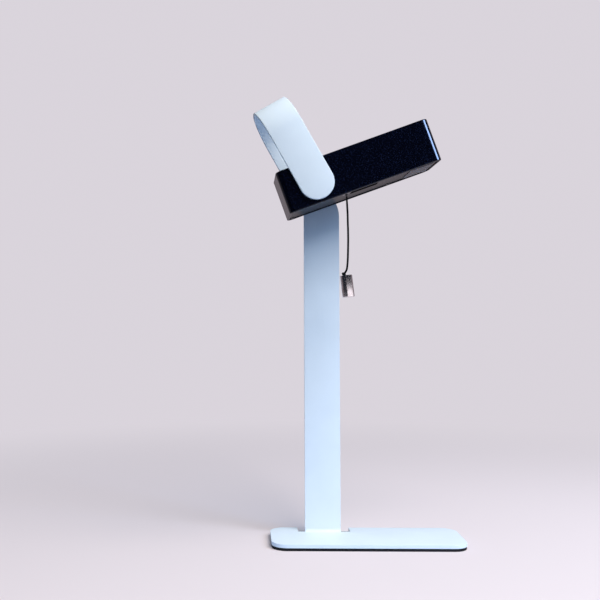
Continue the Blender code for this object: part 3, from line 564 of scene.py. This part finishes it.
# Stand: base plate and post folded from one powder-coated sheet
standFacts = {
    "length": 0.196, "width": 0.067, "corner": 0.015, "thickness": 0.0036, "bottom": 0.0029,
    "edge": 0.0015, "bend": 0.0024, "notchLeft": -0.0687, "notchRight": -0.0139,
    "postLeft": -0.0612, "postRight": -0.0238, "postFront": 0.0194, "shoulderHeight": 0.3395,
    "shoulderRadius": 0.030, "eye": 0.00737, "hole": 0.0033, "holeReach": (-0.008, 0.004),
    "tone": (0.78, 0.85, 0.915),
}


def foldedStand():
    facts = standFacts
    rear, side, steps = facts["width"] / 2, facts["length"] / 2, 14
    floorY = facts["postFront"] - facts["bend"]
    middle = facts["bottom"] + facts["thickness"] / 2
    reach = facts["bend"] + facts["thickness"] / 2
    outline = roundedBox(-side, side, -rear, rear, facts["corner"], steps)
    notch = [
        (facts["notchRight"], rear), (facts["notchRight"], floorY), (facts["postRight"], floorY),
        (facts["postLeft"], floorY), (facts["notchLeft"], floorY), (facts["notchLeft"], rear),
    ]
    # The notch that frees the post's foot comes between the two rear corners
    outline = outline[: 2 * steps + 2] + notch + outline[2 * steps + 2 :]
    polygons = [[(x, y, middle) for x, y in outline]]
    turned = arc(0, 0, reach, -quarter, 0, steps=12)
    bend = [(floorY + y, middle + reach + z) for y, z in turned]
    left, right = facts["postLeft"], facts["postRight"]
    for (y, z), (nextY, nextZ) in zip(bend, bend[1:]):
        polygons.append([(left, y, z), (right, y, z), (right, nextY, nextZ), (left, nextY, nextZ)])
    postY, footZ = bend[-1]
    # The round shoulder meets the eye on their common tangent
    shoulder = (right - facts["shoulderRadius"], facts["shoulderHeight"])
    apart = (pivot.x - shoulder[0], pivot.z - shoulder[1])
    tangent = math.atan2(apart[1], apart[0]) - math.acos(
        (facts["shoulderRadius"] - facts["eye"]) / math.hypot(*apart)
    )
    upper = arc(*shoulder, facts["shoulderRadius"], 0, tangent, steps=14)
    upper += arc(pivot.x, pivot.z, facts["eye"], tangent, math.pi, steps=24)
    polygons.append([(x, postY, z) for x, z in [(right, footZ)] + upper + [(left, footZ)]])
    stand = foldedSheet("standSheetFolded", polygons, facts["thickness"], Matrix.Identity(4))
    rounded(stand, facts["edge"], segments=6)
    cutBy(stand, prism("eyeHole", circle(0, 0, facts["hole"]), *facts["holeReach"], postAxle))
    paint = powderPaint("standPowderPaint", facts["tone"])
    dress(stand, "stand", paint, "stand_paint", "stand_sheet")


foldedStand()
print("stand made")

# Head case: black box with a grained skin, open below, with a pocket for the panel on top
caseFacts = {
    "left": -0.0345, "right": 0.1242, "bottom": -0.02045, "top": 0.02285, "far": -0.0053,
    "near": -0.0693, "corner": 0.0075, "edge": 0.0009, "wall": 0.002, "rim": 0.004,
    "deckTop": 0.01745, "deckBottom": 0.01565, "pocketCorner": 0.002,
    "farBore": 0.0033, "farReach": (0.002, 0.009), "nearBore": 0.0050, "nearReach": (0.066, 0.072),
    "leadHole": (0.084, -0.035, 0.003), "leadTop": 0.02,
    "grain": {
        "dark": (0.0005, 0.0008, 0.0036), "speck": (0.008, 0.012, 0.036), "share": 0.54,
        "level": 0.36, "roughness": (0.11, 0.16), "sheen": (0.70, 0.82, 1.0),
    },
}


def grainedCase():
    facts = caseFacts
    left, right, near, far = facts["left"], facts["right"], facts["near"], facts["far"]
    wall, rim, corner = facts["wall"], facts["rim"], facts["corner"]
    bottom, top, deck = facts["bottom"], facts["top"], facts["deckBottom"]
    outer = roundedBox(left, right, near, far, corner, steps=12)
    inner = roundedBox(
        left + wall, right - wall, near + wall, far - wall, corner - wall, steps=12
    )
    pocket = roundedBox(
        left + rim, right - rim, near + rim, far - rim, facts["pocketCorner"], steps=8
    )
    farBore, nearBore = circle(0, 0, facts["farBore"]), circle(0, 0, facts["nearBore"])
    lead = circle(*facts["leadHole"])
    case = rounded(prism("headCaseShell", outer, bottom, top, headFrame), facts["edge"])
    cutBy(
        case,
        prism("caseHollow", inner, bottom - overcut, deck, headFrame),
        prism("panelPocket", pocket, facts["deckTop"], top + overcut, headFrame),
        prism("farBore", farBore, *facts["farReach"], headAxle),
        prism("nearBore", nearBore, *facts["nearReach"], headAxle),
        prism("leadWindow", lead, deck - overcut, facts["leadTop"], headFrame),
    )
    skin = sparkGrain("caseGrainLook", **facts["grain"])
    dress(case, "head", skin, "case_plastic", "head_case")
    # The flat walls keep their own normals beside the rounded edges
    even = case.modifiers.new("evenNormals", "WEIGHTED_NORMAL")
    even.keep_sharp = True
    return case


case = grainedCase()
print("case made")

# Handle strap: one flat strap bent to a U, half round about the pivot at both ends
strapFacts = {
    "width": 0.035, "thickness": 0.0025, "flat": 0.0615, "bend": 0.0339, "near": 0.07195,
    "far": 0.00265, "edge": 0.0007, "hole": 0.0045, "holeReach": (0.0005, 0.0050),
}


def bentStrap():
    facts = strapFacts
    half = facts["width"] / 2
    radius = facts["bend"] - facts["thickness"] / 2
    end = arc(0, 0, half, math.pi, fullTurn, steps=48)
    leg = [*end, (half, facts["flat"]), (-half, facts["flat"])]
    polygons = [[(x, z, depth) for x, z in leg] for depth in (facts["far"], facts["near"])]
    # Half of the crown, from the far leg up to its middle, then the same again mirrored
    rise = arc(0, 0, radius, math.pi, quarter, steps=30)
    path = [(facts["far"] + radius + depth, facts["flat"] + height) for depth, height in rise]
    path += [(facts["near"] + facts["far"] - depth, height) for depth, height in reversed(path)]
    for (depth, height), (nextDepth, nextHeight) in zip(path, path[1:]):
        polygons.append([
            (-half, height, depth), (half, height, depth),
            (half, nextHeight, nextDepth), (-half, nextHeight, nextDepth),
        ])
    strap = foldedSheet("handleStrapBent", polygons, facts["thickness"], handleAxle)
    rounded(strap, facts["edge"])
    cutBy(strap, prism("strapHole", circle(0, 0, facts["hole"]), *facts["holeReach"], handleAxle))
    paint = powderPaint("handlePowderPaint", standFacts["tone"])
    dress(strap, "handle", paint, "handle_paint", "handle_strap")


bentStrap()
print("handle made")

# Underside cover with its socket pocket, lens window, cord hole and screw holes
coverFacts = {
    "bottom": -0.01925, "top": -0.01725, "fit": 0.0024, "edge": 0.0004, "cordHole": 0.0028,
    "screwsX": (-0.0285, 0.0780, 0.1182), "screwsY": (-0.0633, -0.0113), "screwHole": 0.0017,
    "window": (0.0932, 0.1193, -0.0591, -0.0155), "windowCorner": 0.0015,
    "grain": {
        "dark": (0.008, 0.007, 0.009), "speck": (0.018, 0.017, 0.020), "share": 0.62,
        "level": 0.40, "roughness": (0.26, 0.36), "sheen": (1.0, 0.94, 1.0),
    },
}
screwSpots = [(x, y) for x in coverFacts["screwsX"] for y in coverFacts["screwsY"]]
pocketFacts = {
    "sides": (0.0315, 0.0600, -0.0563, -0.0413), "corner": 0.0008, "depth": 0.005, "wall": 0.0012,
    "boxCorner": 0.0020, "above": 0.0001, "slotX": 0.0045, "slotY": 0.0021, "slotCorner": 0.0008,
    "slotReach": 0.002,
}


def socketPocket(pocket, skin):
    # A thin-walled box over the opening, open below, with a slot for the socket in its roof
    facts = pocketFacts
    roof, wall = coverFacts["bottom"] + facts["depth"], facts["wall"]
    left, right, near, far = facts["sides"]
    outer = roundedBox(
        left - wall, right + wall, near - wall, far + wall, facts["boxCorner"], steps=6
    )
    floor, top = coverFacts["top"] + facts["above"], roof + wall
    housing = prism("socketPocketBox", outer, floor, top, headFrame)
    x, y = (left + right) / 2, (near + far) / 2
    halfX, halfY, reach = facts["slotX"], facts["slotY"], facts["slotReach"]
    slot = roundedBox(x - halfX, x + halfX, y - halfY, y + halfY, facts["slotCorner"], steps=5)
    cutBy(
        housing,
        prism("pocketInside", pocket, coverFacts["bottom"] - overcut, roof, headFrame),
        prism("socketSlot", slot, roof - reach, top + reach, headFrame),
    )
    dress(housing, "head", skin, "cover_plastic")


def undersideCover():
    facts = coverFacts
    fit = facts["fit"]
    outline = roundedBox(
        caseFacts["left"] + fit, caseFacts["right"] - fit,
        caseFacts["near"] + fit, caseFacts["far"] - fit, caseFacts["corner"] - fit,
    )
    cover = prism("undersideCoverPlate", outline, facts["bottom"], facts["top"], headFrame)
    rounded(cover, facts["edge"], segments=3)
    window = roundedBox(*facts["window"], facts["windowCorner"], steps=6)
    pocket = roundedBox(*pocketFacts["sides"], pocketFacts["corner"], steps=6)
    cordHole = circle(switchX, -cordDepth, facts["cordHole"])
    screwHoles = [circle(x, y, facts["screwHole"], steps=24) for x, y in screwSpots]
    low, high = facts["bottom"] - overcut, facts["top"] + overcut
    cutBy(
        cover,
        prism("windowCut", window, low, high, headFrame),
        prism("pocketCut", pocket, low, high, headFrame),
        prism("cordHole", cordHole, low, high, headFrame),
        *[prism("screwHole", hole, low, high, headFrame) for hole in screwHoles],
    )
    skin = sparkGrain("coverLook", **facts["grain"])
    dress(cover, "head", skin, "cover_plastic", "bottom_cover")
    socketPocket(pocket, skin)


undersideCover()
print("underside made")

# Cover screws: pan heads with a cross recess; the shank runs up into the case
screwFacts = {
    "gap": 0.0003, "recessFloor": 0.0003, "bladeReach": 0.002, "bladeX": 0.0013,
    "bladeY": 0.00025, "bladeCorner": 0.0001, "turn": 0.4, "tone": (0.10, 0.10, 0.11),
    "roughness": 0.34,
    "shank": ((0, 0.009), (0.0011, 0.009), (0.0013, 0.0086), (0.0013, 0)),
    "head": (
        (0.0024, 0), (0.0025, -0.0002), (0.0024, -0.0004), (0.0017, -0.0007), (0.0008, -0.0008),
        (0, -0.0008),
    ),
}


def crossScrews():
    facts = screwFacts
    steel = platedSteel("coverScrewSteel", facts["tone"], facts["roughness"])
    face = coverFacts["bottom"] - facts["gap"]
    profile = [(radius, face + height) for radius, height in facts["shank"] + facts["head"]]
    halfX, halfY = facts["bladeX"], facts["bladeY"]
    bar = roundedBox(-halfX, halfX, -halfY, halfY, facts["bladeCorner"], steps=3)
    low, high = face - facts["bladeReach"], face - facts["recessFloor"]
    for number, (x, y) in enumerate(screwSpots, 1):
        place = headFrame @ Matrix.Translation((x, y, 0))
        screw = lathe(f"coverScrewCross{number}", profile, place, steps=40)
        blades = []
        for turn in (facts["turn"] * number, facts["turn"] * number + quarter):
            turned = place @ Matrix.Rotation(turn, 4, "Z")
            blades.append(prism("crossBlade", bar, low, high, turned))
        cutBy(screw, *blades)
        dress(screw, "head", steel, "steel", f"cover_screw_{number}")


crossScrews()
print("screws made")

# Light window: a milky diffuser with fine ribs on a flange that lies over the cover
lensFacts = {
    "body": (0.0935, 0.1190, -0.0588, -0.0158), "bodyCorner": 0.0012, "edge": 0.0005,
    "bodyHeight": (-0.02025, -0.01695), "flange": (0.0925, 0.1200, -0.0598, -0.0148),
    "flangeCorner": 0.0008, "flangeHeight": (-0.0169, -0.01575), "ribs": 160,
    "milk": ((0.09, 0.085, 0.095), (0.12, 0.115, 0.125)),
}


def diffuser():
    facts = lensFacts
    body = roundedBox(*facts["body"], facts["bodyCorner"], steps=8)
    flange = roundedBox(*facts["flange"], facts["flangeCorner"], steps=4)
    lens = prism("ledDiffuserBody", body, *facts["bodyHeight"], headFrame)
    rounded(lens, facts["edge"])
    look = Look("diffuserLook")
    ribs = look.bands(facts["ribs"], "Y")
    thin, thick = facts["milk"]
    look.colour(look.ramp(look.noise(scale=70), (0.3, thin), (0.7, thick)))
    look.roughness(look.ramp(ribs, (0.2, 0.22), (0.8, 0.38)))
    look.bump(ribs, distance=0.00008, strength=0.35)
    look.set(Subsurface_Weight=0.25, Subsurface_Scale=0.002, Specular_IOR_Level=0.30)
    dress(lens, "head", look.material, "lens_plastic", "led_lens")
    lip = prism("ledDiffuserFlange", flange, *facts["flangeHeight"], headFrame)
    dress(lip, "head", look.material, "lens_plastic")


diffuser()
print("diffuser made")

# Solar panel: dark cells with silver fingers and bus bars under a clear pane
panelFacts = {
    "left": -0.0302, "right": 0.1199, "near": -0.0650, "far": -0.0096, "margin": 0.0035,
    "space": 0.0015, "count": 4, "gap": 0.0003, "gasket": 0.0008, "backing": 0.0012,
    "wafer": 0.0004, "cutCorner": 0.003, "edge": 0.00005, "fingers": 160,
    "silver": (0.30, 0.32, 0.36), "crystals": ((0.006, 0.014, 0.060), (0.012, 0.028, 0.110)),
    "barEnds": 0.0006, "barHalf": 0.0007, "barCorner": 0.0003, "barHeight": (0.00041, 0.00052),
    "tin": (0.66, 0.67, 0.70), "tinRoughness": 0.3,
}


def cellLook():
    look = Look("solarCellLook")
    deep, pale = panelFacts["crystals"]
    crystal = look.cells(scale=160, vector=look.mapped((1, 1, 0.2)))
    blue = look.ramp(crystal, (0.1, deep), (0.6, pale))
    fingers = look.bands(panelFacts["fingers"], "X")
    silver = look.ramp(fingers, (0.93, 0.0), (0.97, 1.0))
    look.colour(look.mixed(silver, blue, panelFacts["silver"]))
    look.roughness(look.ramp(fingers, (0.3, 0.22), (0.97, 0.34)))
    look.bump(silver, distance=0.00003, strength=0.3)
    return look.set(Coat_Weight=0.6, Coat_Roughness=0.08).material


def solarPanel():
    facts = panelFacts
    low = caseFacts["deckTop"] + 3 * facts["gap"] + facts["gasket"] + facts["backing"]
    left, right, near, far = facts["left"], facts["right"], facts["near"], facts["far"]
    margin, space, count = facts["margin"], facts["space"], facts["count"]
    pitch = (right - left - 2 * margin + space) / count
    cut, ends, half = facts["cutCorner"], facts["barEnds"], facts["barHalf"]
    silicon = cellLook()
    tin = platedSteel("busBarTin", facts["tin"], facts["tinRoughness"])
    for index in range(count):
        start = left + margin + pitch * index
        end = start + pitch - space
        centre = Vector(((start + end) / 2, (near + far) / 2, low))
        place = headFrame @ Matrix.Translation(centre)
        wide, deep = (end - start) / 2, (far - near) / 2 - margin
        corners = [
            (-wide + cut, -deep), (wide - cut, -deep), (wide, -deep + cut), (wide, deep - cut),
            (wide - cut, deep), (-wide + cut, deep), (-wide, deep - cut), (-wide, -deep + cut),
        ]
        cell = prism(f"solarCellWafer{index + 1}", corners, 0, facts["wafer"], place)
        rounded(cell, facts["edge"], segments=2)
        dress(cell, "head", silicon, "cell_silicon", f"solar_cell_{index + 1}")
        for number, y in enumerate((-deep * 0.5, deep * 0.5), 1):
            strip = roundedBox(
                -wide + ends, wide - ends, y - half, y + half, facts["barCorner"], steps=3
            )
            bar = prism(f"busBar{index + 1}x{number}", strip, *facts["barHeight"], place)
            dress(bar, "head", tin, "cell_silicon")


def clearPane():
    look = Look("panelGlassLook")
    look.roughness(look.ramp(look.noise(scale=45, detail=3), (0.3, 0.03), (0.7, 0.09)))
    look.bump(look.noise(scale=260), distance=0.00001, strength=0.2)
    tint = look.noise(scale=30)
    look.colour(look.ramp(tint, (0.3, (0.90, 0.95, 0.96)), (0.7, (0.96, 0.98, 0.99))))
    look.set(Transmission_Weight=1.0, IOR=1.46)
    pane = nodes["solar_glass"].data
    pane.materials.clear()
    pane.materials.append(look.material)


solarPanel()
clearPane()
print("solar panel made")

# Cap nut behind the post: hexagon with turned chamfers and a dome
nutFacts = {
    "low": -0.0114, "high": -0.0050, "radius": 0.0056, "bore": 0.0033, "boreFloor": 0.0014,
    "shoulder": 0.0002, "proud": 0.0004, "lowChamfer": 0.0008, "highChamfer": 0.0006,
    "domeRadius": 0.0044, "domeHeight": 0.0016, "domeSeat": 0.0002,
    "domeTurns": (1.57, 1.4, 1.2, 1.0, 0.8, 0.6, 0.4, 0.2),
}


def capNut():
    facts = nutFacts
    low, high, radius = facts["low"], facts["high"], facts["radius"]
    nut = prism("capNutBody", circle(0, 0, radius, steps=6), low, high, headAxle)
    flats = radius * math.cos(math.pi / 6)
    inside, outside = flats - facts["shoulder"], radius + facts["proud"]
    chamfer = [
        (0, high), (flats, high), (outside, high - facts["highChamfer"]),
        (outside, low + facts["lowChamfer"]), (inside, low), (inside, low - overcut),
        (0, low - overcut),
    ]
    form = lathe("chamferForm", chamfer, headAxle)
    keep = nut.modifiers.new("chamfer", "BOOLEAN")
    keep.operation = "INTERSECT"
    keep.solver = "EXACT"
    keep.object = form
    settle(nut)
    bpy.data.objects.remove(form)
    bore, floor = circle(0, 0, facts["bore"]), low + facts["boreFloor"]
    cutBy(nut, prism("nutBore", bore, floor, high + overcut, headAxle))
    steel = platedSteel("capNutSteel")
    dress(nut, "head", steel, "steel", "cap_nut")
    wide, rise, seat = facts["domeRadius"], facts["domeHeight"], low + facts["domeSeat"]
    dome = [(0, seat), (wide, seat)]
    dome += [(wide * math.sin(a), low - rise * math.cos(a)) for a in facts["domeTurns"]]
    cap = lathe("capNutDome", dome + [(0, low - rise)], headAxle)
    dress(cap, "head", steel, "steel")


capNut()
print("cap nut made")

# Return spring of the pull switch: a coil between the block's floor and the plunger's collar
coilFacts = {
    "low": -0.0142, "high": -0.0036, "radius": 0.0023, "wire": 0.00025, "turns": 5,
    "perTurn": 24, "sides": 12,
}


def returnCoil(material):
    facts = coilFacts
    low, high, radius, wire = facts["low"], facts["high"], facts["radius"], facts["wire"]
    count = facts["turns"] * facts["perTurn"]
    path = []
    for step in range(count + 1):
        turn = fullTurn * step / facts["perTurn"]
        height = low + (high - low) * step / count
        path.append(Vector((radius * math.cos(turn), radius * math.sin(turn), height)))
    seat = headFrame @ Matrix.Translation((switchX, -cordDepth, 0))
    coil = tube("switchReturnCoil", path, wire, seat, facts["sides"])
    coil.data.materials.append(material)
    for face in coil.data.polygons:
        face.use_smooth = True
    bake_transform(coil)
    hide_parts("switch_spring")


# Small and inner parts keep their solids and get their own finishes
def finishInnerParts():
    finishes = {
        "plated": platedSteel("platedSteelLook"),
        "nylon": mouldedPlastic("greyNylonLook", (0.30, 0.31, 0.33), 0.5),
        "black": mouldedPlastic("innerBlackLook", (0.020, 0.020, 0.022), 0.5),
        "white": mouldedPlastic("innerWhiteLook", (0.80, 0.80, 0.79), 0.45),
        "rubber": rubberSkin("basePadRubber", (0.010, 0.010, 0.011)),
        "foam": rubberSkin("gasketFoam", (0.05, 0.05, 0.055)),
        "board": circuitBoard("circuitBoardLook"),
        "brass": platedSteel("contactBrass", (0.70, 0.50, 0.22), 0.32),
        "sleeve": mouldedPlastic("batterySleeve", (0.10, 0.22, 0.16), 0.3),
        "lead": mouldedPlastic("leadSleeve", (0.45, 0.02, 0.015), 0.4),
        "led": mouldedPlastic("ledPhosphor", (0.80, 0.66, 0.18), 0.35),
    }
    groups = {
        "rubber": ["base_pad"],
        "nylon": ["outer_friction_washer", "inner_friction_washer", "near_friction_washer",
                  "near_bush", "strap_bush", "switch_cap"],
        "plated": ["rear_wave_washer", "near_wave_washer", "near_lock_nut", "near_stud",
                   "tilt_bolt", "bolt_plate", "led_screw_1", "led_screw_2", "board_screw_1",
                   "board_screw_2", "usb_socket", "cord_eyelet"],
        "foam": ["panel_gasket"],
        "white": ["panel_backing", "led_frame"],
        "board": ["led_board", "control_board"],
        "black": ["battery_tray", "switch_body", "switch_plunger"],
        "sleeve": ["battery_cell_1", "battery_cell_2"],
        "brass": ["contact_plate_1", "contact_plate_2"],
        "lead": ["panel_lead", "battery_lead", "led_lead"],
        "led": ["led_1", "led_2", "led_3", "led_4"],
    }
    for key, names in groups.items():
        for name in names:
            materials = nodes[name].data.materials
            materials.clear()
            materials.append(finishes[key])
    returnCoil(finishes["plated"])


finishInnerParts()
print("inner parts finished")

# Plain pale floor that runs into an even backdrop, and soft light
studioFacts = {
    "backdrop": (0.70, 0.66, 0.715), "floor": (0.775, 0.66, 0.655), "floorRadius": 1.1,
    "floorDrop": 0.00005, "fade": (0.25, 1.05), "bounce": (0.56, 0.67, 0.90),
    "dimFloor": (0.03, 0.04, 0.07), "bounceFade": (0.25, 0.55),
}
worldFacts = {
    "sky": (0.62, 0.80, 1.0), "skyFrom": (0.05, 0.75), "skyStrength": (0.02, 0.49),
    "rearFrom": (0.1, 0.6), "rearStrength": (0.0, 0.40),
    "dimSide": (0.016, 0.018, 0.026), "brightSide": (1.45, 1.39, 1.47),
    "brightWay": (0.85, -0.53, 0), "brightFrom": (0.15, 0.40),
    "highWay": (-0.115, 0, 1), "highFrom": (-0.006, 0.012),
    "backSide": (0.27, 0.235, 0.26), "backWay": (0, 1, 0), "backFrom": (-0.1, 0.4),
}
lampFacts = {
    "keyBox": {"place": (0.83, -1.18, 1.96), "aim": (0, 0, 0.22), "size": (1.9, 1.9),
               "power": 65, "colour": (1.0, 0.985, 0.94), "unseen": "glossy"},
    "fillBox": {"place": (1.08, -0.68, 0.90), "aim": (0.06, -0.05, 0.38), "size": (0.5, 0.4),
                "power": 8, "colour": (0.38, 0.62, 1.0), "unseen": "glossy"},
    "gleamBox": {"place": (1.17, -0.64, 0.95), "aim": (0.065, -0.05, 0.385),
                 "size": (0.6, 0.45), "power": 32, "colour": (0.50, 0.66, 1.0),
                 "unseen": "diffuse"},
}


def combined(tree, operation, first, second):
    node = tree.nodes.new("ShaderNodeMath")
    node.operation = operation
    tree.links.new(first, node.inputs[0])
    tree.links.new(second, node.inputs[1])
    return node.outputs["Value"]


def blended(tree, share, first, second):
    node = tree.nodes.new("ShaderNodeMixShader")
    for value, socket in zip((share, first, second), node.inputs):
        tree.links.new(value, socket)
    return node.outputs["Shader"]


def eased(tree, value, limits, ends=(0.0, 1.0)):
    # Eases from the first end to the second as the value passes between its limits
    node = tree.nodes.new("ShaderNodeMapRange")
    node.interpolation_type = "SMOOTHSTEP"
    for name, number in zip(("From Min", "From Max", "To Min", "To Max"), (*limits, *ends)):
        node.inputs[name].default_value = number
    tree.links.new(value, node.inputs["Value"])
    return node.outputs["Result"]


def seenRays(tree, kinds=("Is Camera Ray", "Is Glossy Ray", "Is Transmission Ray")):
    # 1 for rays of these kinds and 0 for all others
    ray = tree.nodes.new("ShaderNodeLightPath")
    seen = ray.outputs[kinds[0]]
    for kind in kinds[1:]:
        seen = combined(tree, "MAXIMUM", seen, ray.outputs[kind])
    return seen


def paleStudio():
    facts = studioFacts
    shape = bmesh.new()
    bmesh.ops.create_circle(shape, cap_ends=True, segments=96, radius=facts["floorRadius"])
    floor = shaped("studioFloor", shape, Matrix.Translation((0, 0, -facts["floorDrop"])))
    look = Look("studioFloorLook")
    tree = look.tree
    away = tree.nodes.new("ShaderNodeVectorMath")
    away.operation = "LENGTH"
    look.link(look.place, away.inputs[0])
    distance = away.outputs["Value"]
    # The light that the floor throws back comes from a pale patch round the lamp
    patch = eased(tree, distance, facts["bounceFade"])
    thrown = look.mixed(patch, facts["bounce"], facts["dimFloor"])
    look.colour(look.mixed(seenRays(tree), thrown, facts["floor"]))
    look.set(Roughness=0.85, Specular_IOR_Level=0.05)
    # Where it is seen, it fades into the backdrop's plain colour
    flat = tree.nodes.new("ShaderNodeEmission")
    flat.inputs["Color"].default_value = (*facts["backdrop"], 1)
    share = combined(tree, "MULTIPLY", eased(tree, distance, facts["fade"]), seenRays(tree))
    surface = blended(tree, share, look.shader.outputs["BSDF"], flat.outputs["Emission"])
    look.link(surface, tree.nodes["Material Output"].inputs["Surface"])
    floor.data.materials.append(look.material)


def softWorld():
    facts = worldFacts
    world = bpy.data.worlds.new("studioWorld")
    scene.world = world
    world.use_nodes = True
    tree = world.node_tree
    tree.nodes.clear()
    way = tree.nodes.new("ShaderNodeTexCoord").outputs["Generated"]
    parts = tree.nodes.new("ShaderNodeSeparateXYZ")
    tree.links.new(way, parts.inputs["Vector"])

    def glow(colour):
        node = tree.nodes.new("ShaderNodeBackground")
        node.inputs["Color"].default_value = (*colour, 1)
        return node

    def leaning(direction, limits, ends=(0.0, 1.0)):
        node = tree.nodes.new("ShaderNodeVectorMath")
        node.operation = "DOT_PRODUCT"
        node.inputs[1].default_value = direction
        tree.links.new(way, node.inputs[0])
        return eased(tree, node.outputs["Value"], limits, ends)

    # Light falls from above and from behind
    fill = glow(facts["sky"])
    above = eased(tree, parts.outputs["Z"], facts["skyFrom"], facts["skyStrength"])
    behind = eased(tree, parts.outputs["Y"], facts["rearFrom"], facts["rearStrength"])
    tree.links.new(combined(tree, "MAXIMUM", above, behind), fill.inputs["Strength"])
    # Mirrors see a pale patch low at the right, dim elsewhere in front, and mid grey behind
    right = leaning(facts["brightWay"], facts["brightFrom"])
    low = leaning(facts["highWay"], facts["highFrom"], (1.0, 0.0))
    dim, bright, back, plain = (
        glow(colour).outputs["Background"]
        for colour in (
            facts["dimSide"], facts["brightSide"], facts["backSide"], studioFacts["backdrop"]
        )
    )
    front = blended(tree, combined(tree, "MULTIPLY", right, low), dim, bright)
    mirrored = blended(tree, leaning(facts["backWay"], facts["backFrom"]), front, back)
    # Seen directly or through the glass it is the plain backdrop
    direct = seenRays(tree, ("Is Camera Ray", "Is Transmission Ray"))
    shown = blended(tree, direct, mirrored, plain)
    output = tree.nodes.new("ShaderNodeOutputWorld")
    whole = blended(tree, seenRays(tree), fill.outputs["Background"], shown)
    tree.links.new(whole, output.inputs["Surface"])


def softLamps():
    for name, facts in lampFacts.items():
        light = bpy.data.lights.new(name, "AREA")
        light.shape = "RECTANGLE"
        light.size, light.size_y = facts["size"]
        light.energy = facts["power"]
        light.color = facts["colour"]
        lamp = bpy.data.objects.new(name, light)
        scene.collection.objects.link(lamp)
        lamp.location = facts["place"]
        lamp.visible_glossy = lamp.visible_transmission = facts["unseen"] != "glossy"
        lamp.visible_diffuse = facts["unseen"] != "diffuse"
        if not lamp.visible_diffuse:
            # This one only draws the gleam down the case's corners
            gleaming = bpy.data.collections.new("gleamingPieces")
            gleaming.objects.link(case)
            lamp.light_linking.receiver_collection = gleaming
        beam = Vector(facts["aim"]) - Vector(facts["place"])
        lamp.rotation_euler = beam.to_track_quat("-Z", "Y").to_euler()


paleStudio()
softWorld()
softLamps()
scene.view_settings.view_transform = "Standard"
print("studio ready")
